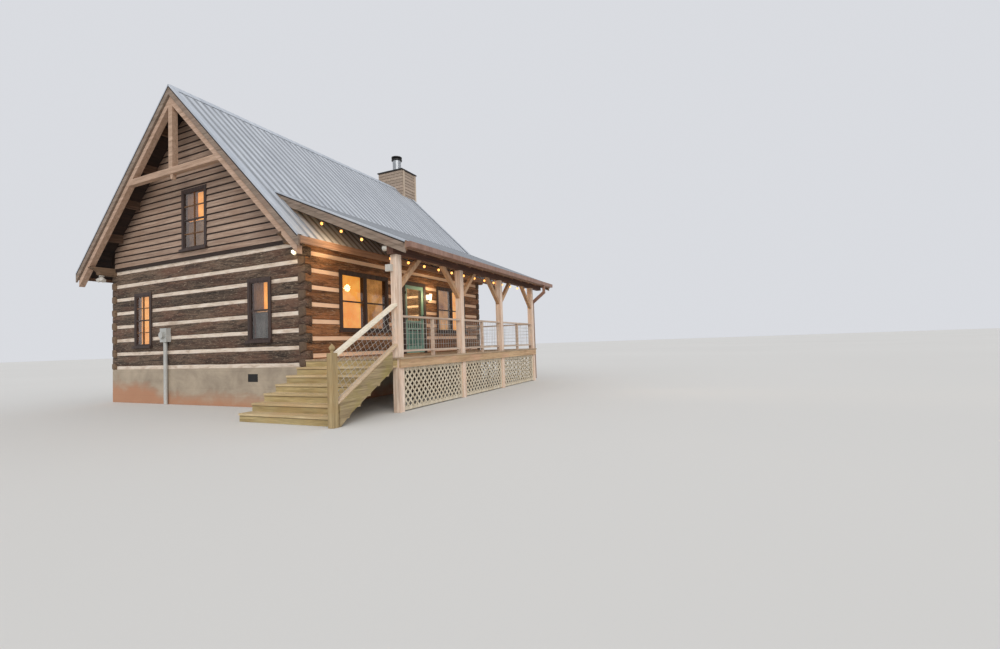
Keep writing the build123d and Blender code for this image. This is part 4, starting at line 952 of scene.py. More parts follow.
trims = rake_trim(NEAR_RAKE, EAVE, TOP) + rake_trim(NEAR_RAKE, EAVE, TOP, -1)
trims += rake_trim(FAR_RAKE, EAVE, CHASE_FRONT) + rake_trim(FAR_RAKE, EAVE, CHASE_BACK, -1)
PORCH_HIGH = porch_slope(0.70)
points, across, upward, normal = slope_axes(PORCH_LOW, PORCH_HIGH, 1)
porch_run = (points[1] - points[0]).length
for edges, face in PORCH_RAKES:
    trims += rake_trim(edges, PORCH_LOW, PORCH_HIGH)
    ends = sorted((face, face + math.copysign(BOARD_THICK, face)))
    board_box = ((ends[0], BOARD_START, -BOARD_FACE), (ends[1], porch_run, -SHADOW_STRIP_FOOT))
    board = bars_piece("board", [board_box], barge_finish)
    board.data.transform(axes(points[0], across, upward, normal))
    trims.append(board)
rake_trims = join("rake_trims", trims)
settle(rake_trims, "cabin")


# %% [markdown]
# The gable above the logs has lap siding: boards that overlap like scales, thick at the foot and
# thin at the head, so that each one throws a shadow on the board below. One wedge is copied up the
# wall, and the pile is cut to the shape of the gable.

# %% Lap siding on the gables
GABLE_TOP = 3.597
FIRST_BOARD = SIDING_START - corner.z - GABLE_TOP
GABLE_HALF = 3.49
GABLE_SHOULDER = 0.563
GABLE_PEAK = 4.03
SIDING_BUTT = 0.03
SIDING_TIP = 0.012
SIDING_RUN = 7.4
SIDING_COUNT = 26


def siding_tree():
    grower = Grower("lap_siding", [("Clip", "Object"), ("Run", "Float"), ("Pitch", "Float"), ("Count", "Int"),
                                   ("First", "Float"), ("Butt", "Float"), ("Tip", "Float"),
                                   ("Material", "Material")])
    size = grower.vector(grower.given("Run"), grower.given("Butt"), grower.given("Pitch"))
    board = grower.add("GeometryNodeMeshCube", values={"Size": size}).outputs[0]
    place = grower.here()
    conditions = {0: grower.above(place["Z"], 0.0), 1: grower.above(place["Y"], 0.0)}
    thin = grower.add("FunctionNodeBooleanMath", {"operation": "AND"}, conditions).outputs[0]
    taper = grower.vector(y=grower.maths("SUBTRACT", grower.given("Tip"), grower.given("Butt")))
    wedge = grower.moved(board, taper, thin)
    half = grower.maths("MULTIPLY", grower.given("Pitch"), 0.5)
    start = grower.vector(z=grower.maths("ADD", grower.given("First"), half))
    row = grower.row(wedge, grower.given("Count"), grower.vector(z=grower.given("Pitch")), start)
    grower.finish(grower.clipped(grower.real(row)))
    return grower


def prism(name, outline, y0, y1):
    """A closed solid from an outline of (x, z) points, between two places along Y."""
    count = len(outline)
    points = [(x, y0, z) for x, z in outline] + [(x, y1, z) for x, z in outline]
    faces = [tuple(range(count)), tuple(range(count, 2 * count))]
    faces += [(i, (i + 1) % count, (i + 1) % count + count, i + count) for i in range(count)]
    return add_piece(name, mesh_from(name, points, faces))


def cut_away(piece, low, high):
    """Takes a straight block out of a piece."""
    block = bars_piece("block", [(low, high)])
    step = piece.modifiers.new("cut", "BOOLEAN")
    step.operation = "DIFFERENCE"
    step.solver = "EXACT"
    step.object = block
    bake(piece)
    bpy.data.objects.remove(block)


siding = siding_tree()
GABLE_FOOT = 0.05
BOARD_BACK = 0.001
BOARD_FRONT = 0.05
gable_outline = [(-GABLE_HALF, GABLE_FOOT), (GABLE_HALF, GABLE_FOOT), (GABLE_HALF, GABLE_SHOULDER),
                 (0.0, GABLE_PEAK), (-GABLE_HALF, GABLE_SHOULDER)]
ATTIC_HALF = 0.425
ATTIC_LOW = 0.273
ATTIC_HIGH = 1.723
GABLE_SIDES = {
    "near_gable_siding": axes(at(-0.02, RIDGE_ACROSS, GABLE_TOP), (0, 1, 0), (-1, 0, 0), (0, 0, 1)),
    "far_gable_siding": axes(at(8.07, RIDGE_ACROSS, GABLE_TOP), (0, -1, 0), (1, 0, 0), (0, 0, 1)),
}
for name, place in GABLE_SIDES.items():
    clip = prism("clip", gable_outline, BOARD_BACK, BOARD_FRONT)
    if name.startswith("near"):
        cut_away(clip, (-ATTIC_HALF, -0.1, ATTIC_LOW), (ATTIC_HALF, 0.1, ATTIC_HIGH))
    sizes = {"Clip": clip, "Run": SIDING_RUN, "Pitch": SIDING_PITCH, "Count": SIDING_COUNT,
             "First": FIRST_BOARD, "Butt": SIDING_BUTT, "Tip": SIDING_TIP, "Material": siding_finish}
    boards = grow(name, siding, sizes, place)
    bpy.data.objects.remove(clip)
    settle(boards, "cabin")


# %% [markdown]
# The chimney's chase is a framed box in narrower lap siding, with pale boards at its corners. Every
# course goes right round, so one tapered ring is copied up the chase.

# %% Siding on the chimney
CHASE_PITCH = 0.122


def chase_tree():
    grower = Grower("chase_siding", [("Width", "Float"), ("Depth", "Float"), ("Pitch", "Float"),
                                     ("Count", "Int"), ("Taper", "Float"), ("Material", "Material")])
    size = grower.vector(grower.given("Depth"), grower.given("Width"), grower.given("Pitch"))
    ring = grower.add("GeometryNodeMeshCube", values={"Size": size}).outputs[0]
    place = grower.here()
    back = grower.maths("MULTIPLY", grower.given("Taper"), -1.0)
    sides = [grower.maths("SIGN", place[key]) for key in "XY"]
    inward = grower.vector(*[grower.maths("MULTIPLY", side, back) for side in sides])
    ring = grower.moved(ring, inward, grower.above(place["Z"], 0.0))
    start = grower.vector(z=grower.maths("MULTIPLY", grower.given("Pitch"), 0.5))
    grower.finish(grower.row(ring, grower.given("Count"), grower.vector(z=grower.given("Pitch")), start))
    return grower


chase_low, chase_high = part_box("chimney_chase")
chase_size = chase_high - chase_low
chase_foot = Vector(((chase_low.x + chase_high.x) / 2, (chase_low.y + chase_high.y) / 2, chase_low.z))
PROUD = 0.016
RING_TAPER = 0.012
BELOW_CAP = 0.002
chase_count = int((chase_size.z - BELOW_CAP) / CHASE_PITCH)
ring_pitch = chase_size.z / chase_count
# The chase's boards are darkened under each course above: painted shadow.
chase_siding = wood("chimney_siding", "c4b09f", "95836f", "X", "ab9584",
                    lap=("Z", chase_low.z, ring_pitch))
sizes = {"Width": chase_size.y + 2 * PROUD, "Depth": chase_size.x + 2 * PROUD, "Pitch": ring_pitch,
         "Count": chase_count, "Taper": RING_TAPER, "Material": chase_siding}
chase_boards = grow("chimney_siding", chase_tree(), sizes, Matrix.Translation(chase_foot))
settle(chase_boards, "cabin", ["chimney_chase"])
CORNER_BOARD = 0.09
CORNER_PROUD = 0.022
WALL_STEP = 0.06  # the boards on the wall side stand this far out from the end of the chase
WALL_PROUD = 0.005
bars = []
for x, side_x, proud in ((chase_low.x + WALL_STEP, -1, WALL_PROUD), (chase_high.x, 1, CORNER_PROUD)):
    for y, side_y in ((chase_low.y, -1), (chase_high.y, 1)):
        xs = sorted((x - side_x * CORNER_BOARD, x + side_x * proud))
        ys = sorted((y - side_y * CORNER_BOARD, y + side_y * CORNER_PROUD))
        bars.append(((xs[0], ys[0], chase_low.z), (xs[1], ys[1], chase_high.z - BELOW_CAP)))
corner_boards = bars_piece("chimney_corner_boards", bars, corner_finish)
settle(corner_boards, "cabin")


# %% [markdown]
# Stock panels of welded wire fill the railings, on squares of about 10 cm. A flat grid already has
# the wires as its edges: Mesh to Curve keeps them and Curve to Mesh gives them their roundness. The
# stair's panel is the same stock turned to the slope and cut off upright at its ends, so its wires
# are rows of finely divided lines, and the points beyond the ends are deleted.

# %% Wire panels
WIRE_PITCH = 0.1
WIRE_RADIUS = 0.0032
WIRE_STEP = 0.02
WIRE_INPUTS = [("Width", "Float"), ("Height", "Float"), ("Pitch", "Float"), ("Radius", "Float")]


def rounded_wires(grower, lines):
    values = {"Resolution": 5, "Radius": grower.given("Radius")}
    ring = grower.add("GeometryNodeCurvePrimitiveCircle", values=values).outputs[0]
    values = {"Curve": lines, "Profile Curve": ring}
    grower.finish(grower.add("GeometryNodeCurveToMesh", values=values).outputs[0])


def wire_tree():
    grower = Grower("wire_panel", WIRE_INPUTS + [("Material", "Material")])
    counts = []
    for side in ("Width", "Height"):
        cells = grower.maths("ROUND", grower.maths("DIVIDE", grower.given(side), grower.given("Pitch")))
        counts.append(grower.maths("ADD", cells, 1.0))
    values = {"Size X": grower.given("Width"), "Size Y": grower.given("Height")}
    values.update({"Vertices X": counts[0], "Vertices Y": counts[1]})
    grid = grower.add("GeometryNodeMeshGrid", values=values).outputs[0]
    place = grower.here()
    values = {"Geometry": grid, "Position": grower.vector(place["X"], 0.0, place["Y"])}
    upright = grower.add("GeometryNodeSetPosition", values=values).outputs[0]
    rounded_wires(grower, grower.add("GeometryNodeMeshToCurve", values={"Mesh": upright}).outputs[0])
    return grower


def stair_wire_tree():
    inputs = WIRE_INPUTS + [("Step", "Float"), ("Angle", "Float"), ("Material", "Material")]
    grower = Grower("stair_wire_panel", inputs)
    reach = grower.maths("ADD", grower.maths("MULTIPLY", grower.given("Width"), 0.7), grower.given("Height"))
    tall = grower.maths("MULTIPLY", grower.given("Height"), 0.5)
    pitch = grower.given("Pitch")
    rows = []
    for ends, span, step in [(grower.vector(x=reach), tall, grower.vector(z=pitch)),
                             (grower.vector(z=tall), reach, grower.vector(x=pitch))]:
        values = {"Start": grower.scaled(ends, -1.0), "End": ends}
        line = grower.add("GeometryNodeCurvePrimitiveLine", values=values).outputs[0]
        values = {"Curve": line, "Length": grower.given("Step")}
        fine = grower.add("GeometryNodeResampleCurve", {"mode": "LENGTH"}, values).outputs[0]
        cells = grower.maths("ROUND", grower.maths("DIVIDE", grower.maths("MULTIPLY", span, 2.0), pitch))
        shift = grower.maths("MULTIPLY", grower.maths("MULTIPLY", cells, pitch), -0.5)
        aside = grower.vector(z=shift) if not rows else grower.vector(x=shift)
        rows.append(grower.real(grower.row(fine, grower.maths("ADD", cells, 1.0), step, aside)))
    turned = grower.placed(grower.joined(rows), {"Rotation": grower.vector(y=grower.given("Angle"))})
    across = grower.maths("ABSOLUTE", grower.here()["X"])
    beyond = grower.above(across, grower.maths("MULTIPLY", grower.given("Width"), 0.5))
    values = {"Geometry": turned, "Selection": beyond}
    cut = grower.add("GeometryNodeDeleteGeometry", {"domain": "POINT"}, values).outputs[0]
    rounded_wires(grower, cut)
    return grower


wires = wire_tree()
stair_wires = stair_wire_tree()
PORCH_WIRE_TOP = corner.z + 1.95
PORCH_WIRE_FOOT = corner.z + 1.1


def upright_axes(low, high):
    """The place of an upright panel between two corners, with its long side along the porch or across."""
    size = high - low
    long_side = Vector((1, 0, 0)) if size.x > size.y else Vector((0, 1, 0))
    facing = Vector((0, 0, 1)).cross(long_side)
    return axes((low + high) / 2, long_side, facing, (0, 0, 1)), size, max(size.x, size.y)


panels = []
for low, high in solids_of("railing_wire"):
    place, size, run = upright_axes(low, high)
    on_stair = high.z > PORCH_WIRE_TOP or low.z < PORCH_WIRE_FOOT
    sizes = {"Width": run, "Height": size.z, "Pitch": WIRE_PITCH, "Radius": WIRE_RADIUS,
             "Material": wire_finish}
    if on_stair:
        angle = math.atan(STAIR_LEAN)
        sizes["Height"] = (size.z - STAIR_LEAN * run) * math.cos(angle)
        sizes["Step"] = WIRE_STEP
        sizes["Angle"] = -angle
    panels.append(grow("panel", stair_wires if on_stair else wires, sizes, place))
wire_panels = join("wire_panels", panels)
settle(wire_panels, "cabin", ["railing_wire"])


# %% [markdown]
# The skirts under the deck are lattice: two layers of thin strips at 45 degrees, one each way, in a
# frame of flat boards. Each layer is a row of long strips, and the panel's own box trims them.

# %% Lattice skirts
STRIP_WIDTH = 0.038
STRIP_THICKNESS = 0.007
STRIP_SPACING = 0.108
SKIRT_BORDER = 0.06
LAYER_APART = 0.52  # of a strip's thickness, from the middle of the panel to the middle of a layer
UNDER_BORDER = 0.6  # how far the strips stop inside the panel's edge, as a share of the border
CLIP_DEPTH = 0.02


def lattice_tree():
    grower = Grower("lattice", [("Clip", "Object"), ("Strip", "Vector"), ("Spacing", "Float"),
                                ("Count", "Int"), ("Material", "Material")])
    strip = grower.add("GeometryNodeMeshCube", values={"Size": grower.given("Strip")}).outputs[0]
    thickness = grower.parts_of(grower.given("Strip"))["Y"]
    gaps = grower.maths("SUBTRACT", grower.given("Count"), 1.0)
    span = grower.maths("MULTIPLY", grower.given("Spacing"), gaps)
    layers = []
    for side in (-1.0, 1.0):
        turned = grower.placed(strip, {"Rotation": (0.0, side * math.pi / 4, 0.0)})
        depth = grower.maths("MULTIPLY", thickness, side * LAYER_APART)
        start = grower.vector(grower.maths("MULTIPLY", span, -0.5), depth)
        row = grower.row(turned, grower.given("Count"), grower.vector(grower.given("Spacing")), start)
        layers.append(grower.clipped(grower.real(row)))
    grower.finish(grower.joined(layers))
    return grower


lattice = lattice_tree()
panels = []
for low, high in solids_of("lattice_skirts"):
    place, size, run = upright_axes(low, high)
    half = (run / 2, min(size.x, size.y) / 2, size.z / 2)
    inside = SKIRT_BORDER * UNDER_BORDER
    clip_half = (half[0] - inside, CLIP_DEPTH, half[2] - inside)
    clip = bars_piece("clip", [(tuple(-side for side in clip_half), clip_half)])
    sizes = {"Clip": clip, "Strip": (STRIP_WIDTH, STRIP_THICKNESS, size.z * 1.5),
             "Spacing": STRIP_SPACING * math.sqrt(2),
             "Count": int((run + size.z) / STRIP_SPACING / math.sqrt(2)), "Material": lattice_finish}
    panels.append(grow("panel", lattice, sizes, place))
    bpy.data.objects.remove(clip)
    inner_x = half[0] - SKIRT_BORDER
    inner_z = half[2] - SKIRT_BORDER
    bars = [((-half[0], -half[1], -half[2]), (half[0], half[1], -inner_z)),
            ((-half[0], -half[1], inner_z), half),
            ((-half[0], -half[1], -inner_z), (-inner_x, half[1], inner_z)),
            ((inner_x, -half[1], -inner_z), (half[0], half[1], inner_z))]
    edge = bars_piece("edge", bars, lattice_finish)
    edge.data.transform(place)
    panels.append(edge)
skirts = join("lattice_panels", panels)
settle(skirts, "cabin", ["lattice_skirts"])


# %% [markdown]
# The deck is boards with narrow gaps, laid along the porch. One board is copied from the outer edge
# to the wall.

# %% Deck boards
def board_tree():
    grower = Grower("boards", [("Board", "Vector"), ("Step", "Vector"), ("Start", "Vector"), ("Count", "Int"),
                               ("Material", "Material")])
    board = grower.add("GeometryNodeMeshCube", values={"Size": grower.given("Board")}).outputs[0]
    grower.finish(grower.row(board, grower.given("Count"), grower.given("Step"), grower.given("Start")))
    return grower


rows = board_tree()
deck_low, deck_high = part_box("porch_deck")
DECK_COUNT = 17
DECK_GAP = 0.006
deck_size = deck_high - deck_low
board_pitch = (deck_size.y + DECK_GAP) / DECK_COUNT
board_size = Vector((deck_size.x, board_pitch - DECK_GAP, deck_size.z))
sizes = {"Board": board_size, "Step": (0.0, board_pitch, 0.0), "Start": deck_low + board_size / 2,
         "Count": DECK_COUNT, "Material": deck_finish}
deck_boards = grow("deck_boards", rows, sizes)
settle(deck_boards, "cabin", ["porch_deck"])


# %% [markdown]
# Some single windows are divided into small panes by thin bars, a cross in each sash. The places come
# from the glass itself: each pane is a solid of the glass node, and it is named here by its wall.

# %% Window names and bars
BAR_WIDTH = 0.024
BAR_DEPTH = 0.016
panes = solids_of("window_glass")


def window_name(low, high):
    """The wall and the place of a window, as someone outside would name it."""
    size = high - low
    middle = (low + high) / 2 - corner
    if size.x > size.y:
        return ("porch_%d" if middle.y < 1.0 else "back_%d") % int(middle.x / 0.8)
    wall = "near" if middle.x < 1.0 else "far"
    if middle.z > 3.5:
        return wall + "_attic"
    return wall + ("_right" if middle.y < RIDGE_ACROSS else "_left")


BARRED = ("near_left", "near_attic", "far_left", "far_right")
bars = []
for low, high in panes:
    if window_name(low, high) not in BARRED:
        continue
    middle = (low + high) / 2
    half = BAR_WIDTH / 2
    for x0, x1 in ((low.x - BAR_DEPTH, low.x), (high.x, high.x + BAR_DEPTH)):
        bars.append(((x0, middle.y - half, low.z), (x1, middle.y + half, high.z)))
        bars.append(((x0, low.y, middle.z - half), (x1, high.y, middle.z + half)))
settle(bars_piece("window_bars", bars, bar_finish), "cabin")


# %% [markdown]
# Lamps are on indoors, and the cloth behind the glass glows: plain curtains, brown drapes drawn half
# across, and a grey blind. Their glow is painted light, the cloth's own emission. Each one hangs from
# a rod in folds, so its flat cloth is wider than the window. The folds are a wave whose size changes
# from fold to fold by a fixed rule, and the area of the cloth's surface is summed.

# %% Curtains and rods
FOLD_POINTS = 10
CLOTH_ROWS = 8
ROD_BEHIND = 0.11
SIDE_PLAY = 0.02
ROD_SIZE = 0.01
ROD_PAST = 0.029  # how far a rod runs past the glass
ROD_BELOW = 0.001  # the rod starts just under the head of the cloth


def curtain(name, start, end, low, high, folds, depth, finish):
    """Cloth between two points along a wall, with soft vertical folds."""
    along = end - start
    out = along.normalized().cross(Vector((0, 0, 1)))
    columns = folds * FOLD_POINTS
    points = []
    for row in range(CLOTH_ROWS + 1):
        share = row / CLOTH_ROWS
        for column in range(columns + 1):
            step = column / columns
            swell = 0.6 + 0.4 * math.sin(7.3 * math.floor(step * folds) + 1.7)
            wave = math.sin(2 * math.pi * step * folds) * depth * swell * (0.6 + 0.4 * share)
            height = high - (high - low) * share
            points.append(start + along * step + out * wave + Vector((0, 0, height - start.z)))
    width = columns + 1
    faces = []
    for row in range(CLOTH_ROWS):
        for column in range(columns):
            first = row * width + column
            faces.append((first, first + 1, first + width + 1, first + width))
    mesh = bpy.data.meshes.new(name)
    mesh.from_pydata([tuple(point) for point in points], [], faces)
    mesh.materials.append(finish)
    mesh.shade_smooth()
    area = sum(face.area for face in mesh.polygons)
    return add_piece(name, mesh), area, high - low


# Each cloth: its span along the window, its span up the window, folds, depth of a fold, finish, and
# how far it hangs in front of the rod line.
WHOLE = [((0.0, 1.0), (0.0, 1.0), 4, 0.006, curtain_finish, 0.0)]
FOLDED = [((0.0, 1.0), (0.0, 1.0), 7, 0.018, cream_finish, 0.0)]
DRESSING = {
    "near_right": [((0.0, 1.0), (0.5, 1.0), 4, 0.006, curtain_finish, 0.0),
                   ((0.45, 1.0), (0.5, 1.0), 4, 0.012, drape_finish, 0.03),
                   ((0.0, 1.0), (0.0, 0.47), 3, 0.004, blind_finish, 0.0)],
    "near_attic": [((0.0, 1.0), (0.5, 1.0), 4, 0.006, curtain_finish, 0.0),
                   ((0.48, 1.0), (0.5, 1.0), 5, 0.012, drape_finish, 0.03),
                   ((0.0, 1.0), (0.0, 0.47), 6, 0.010, lace_finish, 0.0)],
    "porch_2": FOLDED, "porch_7": FOLDED, "back_2": FOLDED, "back_7": FOLDED,
}
openings = {}
for low, high in panes:
    name = window_name(low, high)
    old = openings.get(name, (low, high))
    openings[name] = (Vector(map(min, old[0], low)), Vector(map(max, old[1], high)))
house_middle = at(4.025, RIDGE_ACROSS, 0)
cloths = []
rods = set()
for name, (low, high) in sorted(openings.items()):
    axis = 0 if high.x - low.x < high.y - low.y else 1
    inward = 1 if low[axis] < house_middle[axis] else -1
    other = 1 - axis
    face = high[axis] if inward > 0 else low[axis]
    drop = high.z - low.z + 1.8 * SIDE_PLAY
    breadth = high[other] - low[other] + 2 * SIDE_PLAY
    for number, (span, rise, folds, depth, finish, step) in enumerate(DRESSING.get(name, WHOLE)):
        line = face + inward * (ROD_BEHIND - step)
        foot, head = [low.z - SIDE_PLAY + drop * share for share in rise]
        ends = []
        for share in span:
            place = Vector((0, 0, head))
            place[axis] = line
            place[other] = low[other] - SIDE_PLAY + breadth * share
            ends.append(place)
        title = "curtain_%s_%d" % (name, number)
        cloths.append(curtain(title, ends[0], ends[1], foot, head, folds, depth, finish))
        rod = (line, low[other] - ROD_PAST, high[other] + ROD_PAST, head)
        rods.add((axis, *[round(value, 4) for value in rod]))
for cloth, area, drop in cloths:
    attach(cloth, "cabin")
rod_bars = []
for axis, line, first, last, head in sorted(rods):
    low = [first, first, head - ROD_BELOW]
    high = [last, last, head - ROD_BELOW + ROD_SIZE]
    low[axis] = line - ROD_SIZE / 2
    high[axis] = line + ROD_SIZE / 2
    rod_bars.append((low, high))
settle(bars_piece("curtain_rods", rod_bars, black_finish), "cabin")
print("windows", len(openings), "cloths", len(cloths), "rods", len(rods))


# %% [markdown]
# The screen door is painted twice: the frame in pale teal and the recessed panels in a deeper one.
# Each inset stops short of the rail above, and a dark board in that gap is painted shade. A dark board
# closes the opening behind the turned spindles. All of it rides on the door, so it swings with it.

# %% Door insets
leaf_low, leaf_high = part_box("screen_door")
INSET_STEP = 0.23467
STILE = 0.1
HALF_MULLION = 0.02
INSET_LOW = 1.269
INSET_HIGH = 1.688
SHADOW_LOW = 1.69
SHADOW_HIGH = 1.734
SLATS = (1.37, 1.47, 1.57)
SLAT_HEIGHT = 0.018
SPINDLES_LOW = 1.776
SPINDLES_HIGH = 1.949


def leaf_bar(x0, x1, back, front, low, high):
    """A bar on the leaf, between two depths behind its outer face and two heights."""
    return ((x0, leaf_low.y + back, low), (x1, leaf_low.y + front, high))


insets = []
shadows = []
for index in range(3):
    x0 = leaf_low.x + STILE + index * INSET_STEP + HALF_MULLION
    x1 = x0 + INSET_STEP - 2 * HALF_MULLION
    insets.append(leaf_bar(x0 + 0.004, x1 - 0.004, 0.005, 0.0102, INSET_LOW, INSET_HIGH))
    for height in SLATS:
        insets.append(leaf_bar(x0 + 0.004, x1 - 0.004, 0.002, 0.0052, height, height + SLAT_HEIGHT))
    # Painted shade: a dark bar in the gap at the top of each recess.
    shadows.append(leaf_bar(x0 + 0.001, x1 - 0.001, 0.008, 0.0102, SHADOW_LOW, SHADOW_HIGH))
shadows.append(((leaf_low.x + 0.095, leaf_high.y - 0.006, SPINDLES_LOW),
                (leaf_high.x - 0.095, leaf_high.y - 0.002, SPINDLES_HIGH)))
settle(bars_piece("door_insets", insets, panel_finish), "door")
settle(bars_piece("door_shadow_boards", shadows, shade_finish), "door")


# %% [markdown]
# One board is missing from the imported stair: the riser between the highest tread and the deck.

# %% Top riser
RISER_LOW = (-0.022, -2.3795, 0.9)
RISER_HIGH = (-0.003, -0.0195, 1.0145)
riser_box = (tuple(at(*RISER_LOW)), tuple(at(*RISER_HIGH)))
settle(bars_piece("top_riser", [riser_box], riser_finish), "cabin")


# %% [markdown]
# A string of lamps runs down the near rake of the porch and along the beam. One lamp is a socket and
# a bulb. It is made once, and a tree sets it out at even steps along a straight line. The wire is
# clipped to the timber, so it is fixed wire and not a free cord.

# %% String lights
SOCKET_RADIUS = 0.013
SOCKET_LENGTH = 0.05
BULB_RADIUS = 0.027
STRING_RADIUS = 0.0035
CLIP_HALF = 0.006
CLIP_RISE = 0.008


def string_tree():
    grower = Grower("string_lights", [("Start", "Vector"), ("Step", "Vector"), ("Count", "Int"),
                                      ("Socket", "Float"), ("Length", "Float"), ("Bulb", "Float"),
                                      ("Socket Material", "Material"), ("Material", "Material")])
    values = {"Vertices": 10, "Radius": grower.given("Socket"), "Depth": grower.given("Length")}
    socket = grower.add("GeometryNodeMeshCylinder", values=values).outputs[0]
    half = grower.maths("MULTIPLY", grower.given("Length"), -0.5)
    socket = grower.placed(socket, {"Translation": grower.vector(z=half)})
    values = {"Segments": 12, "Rings": 8, "Radius": grower.given("Bulb")}
    bulb = grower.add("GeometryNodeMeshUVSphere", values=values).outputs[0]
    tuck = grower.maths("MULTIPLY", grower.given("Bulb"), -0.9)
    hang = grower.maths("SUBTRACT", tuck, grower.given("Length"))
    bulb = grower.placed(bulb, {"Translation": grower.vector(z=hang), "Scale": (1.0, 1.0, 1.15)})
    rows = []
    for shape, label in [(socket, "Socket Material"), (bulb, "Material")]:
        row = grower.row(shape, grower.given("Count"), grower.given("Step"), grower.given("Start"))
        rows.append(grower.painted(row, label))
    grower.end(grower.joined(rows))
    return grower


RAKE_DROP = 0.243  # from the porch roof down to the wire under its barge board
RAKE_ALONG = -0.1175
RAKE_FIRST = -0.635
RAKE_STEP = -0.523
BEAM_FIRST = 0.049
BEAM_STEP = 0.577
BEAM_COUNT = 13
BEAM_ACROSS = -2.2465
BEAM_FACE = -2.2705
BEAM_LINE = 3.05


def under_rake(across):
    """A point of the wire under the near rake of the porch."""
    return (RAKE_ALONG, across, porch_slope(across)[1] - RAKE_DROP)


rake_line = [under_rake(-0.2), under_rake(-2.1)]
beam_line = [(-0.02, BEAM_ACROSS, BEAM_LINE), (7.1, BEAM_ACROSS, BEAM_LINE)]
STRINGS = [(under_rake(RAKE_FIRST), (0.0, RAKE_STEP, RAKE_STEP * PORCH_SLOPE), 3),
           ((BEAM_FIRST, BEAM_ACROSS, BEAM_LINE), (BEAM_STEP, 0.0, 0.0), BEAM_COUNT)]
strings = string_tree()
lights = []
for start, step, count in STRINGS:
    sizes = {"Start": at(*start), "Step": step, "Count": count, "Socket": SOCKET_RADIUS,
             "Length": SOCKET_LENGTH, "Bulb": BULB_RADIUS, "Socket Material": black_finish,
             "Material": bulb_finish}
    lights.append(grow("string", strings, sizes))
for first, last in (rake_line, beam_line):
    ends = [at(*first), at(*last)]
    line = (ends[1] - ends[0]).normalized()
    form = bmesh.new()
    place = Matrix.Translation((ends[0] + ends[1]) / 2) @ line.to_track_quat("Z", "X").to_matrix().to_4x4()
    bmesh.ops.create_cone(form, cap_ends=True, segments=6, radius1=STRING_RADIUS, radius2=STRING_RADIUS,
                          depth=(ends[1] - ends[0]).length, matrix=place)
    lights.append(add_piece("string_wire", mesh_of("string_wire", form), black_finish))
clips = []
for index in range(BEAM_COUNT):
    x = BEAM_FIRST + BEAM_STEP * index
    clip_low = at(x - CLIP_HALF, BEAM_FACE, BEAM_LINE - CLIP_RISE)
    clip_high = at(x + CLIP_HALF, BEAM_ACROSS, BEAM_LINE + CLIP_RISE)
    clips.append((tuple(clip_low), tuple(clip_high)))
lights.append(bars_piece("clips", clips, black_finish))
string_lights = join("string_lights", lights)
settle(string_lights, "cabin")


# %% [markdown]
# The flood lamp at the near corner has bright lenses, and the lantern by the door has glowing panes.
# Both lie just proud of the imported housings, so the housings show round them.

# %% Lenses and lantern glass
LENS_RADIUS = 0.047
LENS_DEPTH = 0.006
FLOOD_TILT = math.radians(55.0)
HEAD_LENGTH = 0.12
KNUCKLE = at(-0.11, 0.09, 3.395)
form = bmesh.new()
for side_x, side_y in ((-1, 0), (0, 1)):
    aim = Vector((side_x * math.sin(FLOOD_TILT), side_y * math.sin(FLOOD_TILT), -math.cos(FLOOD_TILT)))
    turn = aim.to_track_quat("Z", "X").to_matrix().to_4x4()
    place = Matrix.Translation(KNUCKLE + aim * (HEAD_LENGTH + 0.001))
    bmesh.ops.create_cone(form, cap_ends=True, segments=24, radius1=LENS_RADIUS, radius2=LENS_RADIUS * 0.9,
                          depth=LENS_DEPTH, matrix=place @ turn)
settle(add_piece("flood_lenses", mesh_of("flood_lenses", form), flood_finish), "cabin")

LANTERN_TOP = 2.815
LANTERN_HALF = 0.065
LANTERN_TAPER = math.tan(math.radians(6.0))
LANTERN_PROUD = 0.0015
LANTERN_AXIS = (4.6225, -0.09)
GLASS_HEIGHTS = (2.64, 2.785)
GLASS_FACES = [(0, 1, 2, 3), (4, 5, 6, 7), (0, 1, 5, 4), (1, 2, 6, 5), (2, 3, 7, 6), (3, 0, 4, 7)]
glass_points = []
for up in GLASS_HEIGHTS:
    half = LANTERN_HALF - (LANTERN_TOP - up) * LANTERN_TAPER + LANTERN_PROUD
    for side_x, side_y in ((-1, -1), (1, -1), (1, 1), (-1, 1)):
        glass_points.append(at(LANTERN_AXIS[0] + side_x * half, LANTERN_AXIS[1] + side_y * half, up))
glass_mesh = mesh_from("lantern_glass", glass_points, GLASS_FACES)
settle(add_piece("lantern_glass", glass_mesh, lantern_finish), "cabin")


# %% [markdown]
# The floor under the cabin and the lights are not part of it. A pale floor runs to the horizon, the
# sky gives even light, and one wide soft lamp from the front left shapes the logs. Small warm lamps
# stand where the porch has its own, and one lights the room.

# %% Floor, sky and lamps
FLOOR_REACH = 400.0
FLOOR_DOWN = -0.002
floor_corners = ((-1, -1), (1, -1), (1, 1), (-1, 1))
floor_points = [(x * FLOOR_REACH, y * FLOOR_REACH, FLOOR_DOWN) for x, y in floor_corners]
floor_plain = Finish("studio_floor", 0.95)
clouds = floor_plain.noise((0.05, 0.05, 0.05), 2.0)
floor_colour = floor_plain.done(floor_plain.ramp(clouds, [(0.0, tint("d9d7d2")), (1.0, tint("e2e0db"))]))
floor_mesh = mesh_from("studio_floor", floor_points, [(0, 1, 2, 3)])
studio_floor = add_piece("studio_floor", floor_mesh, floor_colour)

world = bpy.data.worlds.new("studio_sky")
bpy.context.scene.world = world
world.use_nodes = True
sky = world.node_tree.nodes["Background"]
sky.inputs["Color"].default_value = (0.93, 0.95, 1.0, 1.0)
sky.inputs["Strength"].default_value = 0.75


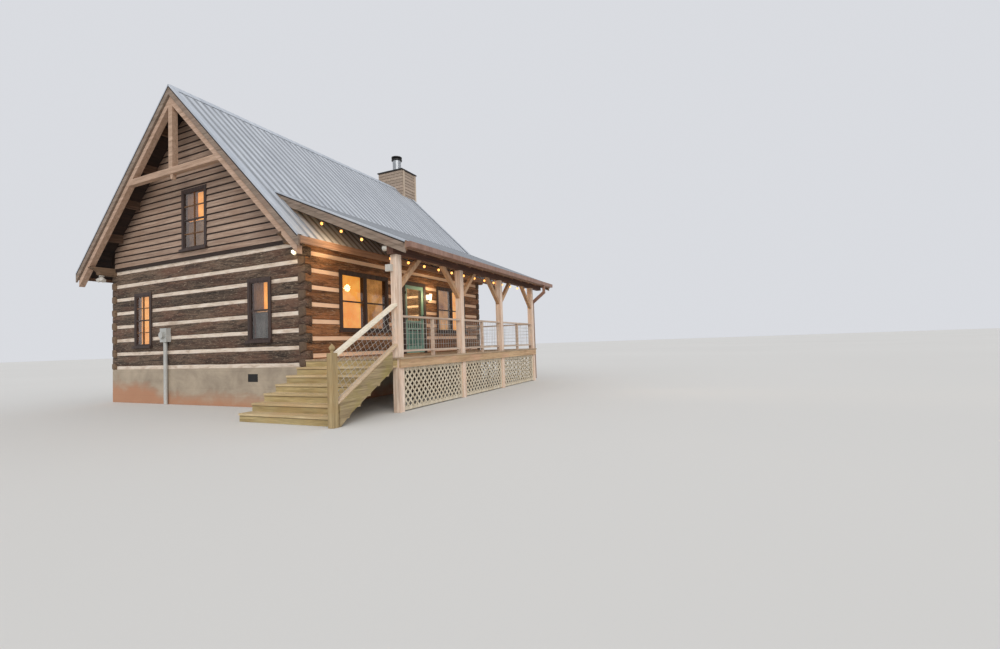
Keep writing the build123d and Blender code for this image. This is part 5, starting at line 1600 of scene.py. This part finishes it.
def lamp(name, kind, place, energy, colour, size, target=None):
    """A lamp at a place of the house, turned to a target where it has one."""
    data = bpy.data.lights.new(name, kind)
    data.energy = energy
    data.color = colour
    if kind == "SUN":
        data.angle = size
    else:
        data.shadow_soft_size = size
    piece = bpy.data.objects.new(name, data)
    bpy.context.scene.collection.objects.link(piece)
    piece.location = place
    if target:
        piece.rotation_euler = (target - place).to_track_quat("-Z", "Y").to_euler()


WARM = (1.0, 0.72, 0.4)
PORCH_LAMPS = {
    "door": ((4.6, -0.35, 2.75), 14.0), "corner": ((0.45, -0.36, 3.3), 6.0),
    "rake": ((0.15, -0.9, 3.7), 16.0), "low": ((0.7, -1.3, 1.7), 6.0),
    "middle": ((2.8, -1.4, 2.95), 8.0), "far": ((6.4, -1.3, 3.0), 10.0),
}
lamp("soft_key", "SUN", at(-9, -8, 10), 1.2, (1.0, 0.98, 0.95), 0.6, at(3, 2, 2))
lamp("room_lamp", "POINT", at(4.0, 3.6, 3.2), 1700.0, WARM, 0.3)
for name, (place, energy) in PORCH_LAMPS.items():
    lamp("porch_lamp_" + name, "POINT", at(*place), energy, WARM, 0.08)
lamp("flood_lamp_corner", "POINT", at(-0.3, -0.05, 3.2), 3.0, WARM, 0.05)


# %% [markdown]
# The camera stands where the photograph was taken: about 12 metres out from the near corner, at eye
# height, with a wide lens, and tipped a little.

# %% Camera
EYE = Vector((-10.996, -10.488, 1.2515))
YAW = math.radians(24.893)
PITCH = math.radians(2.301)
ROLL = math.radians(-1.980)
forward = Vector((math.cos(PITCH) * math.cos(YAW), math.cos(PITCH) * math.sin(YAW), math.sin(PITCH)))
level = forward.cross(Vector((0, 0, 1))).normalized()
upright = level.cross(forward)
right = level * math.cos(ROLL) + upright * math.sin(ROLL)
top = upright * math.cos(ROLL) - level * math.sin(ROLL)
camera_data = bpy.data.cameras.new("photo_camera")
camera_data.lens = 16.93
camera_data.sensor_width = 36.0
camera_data.clip_end = 1000.0
camera = bpy.data.objects.new("photo_camera", camera_data)
bpy.context.scene.collection.objects.link(camera)
camera.matrix_world = axes(EYE, right, top, -forward)
bpy.context.scene.camera = camera
bpy.context.scene.view_settings.view_transform = "Standard"
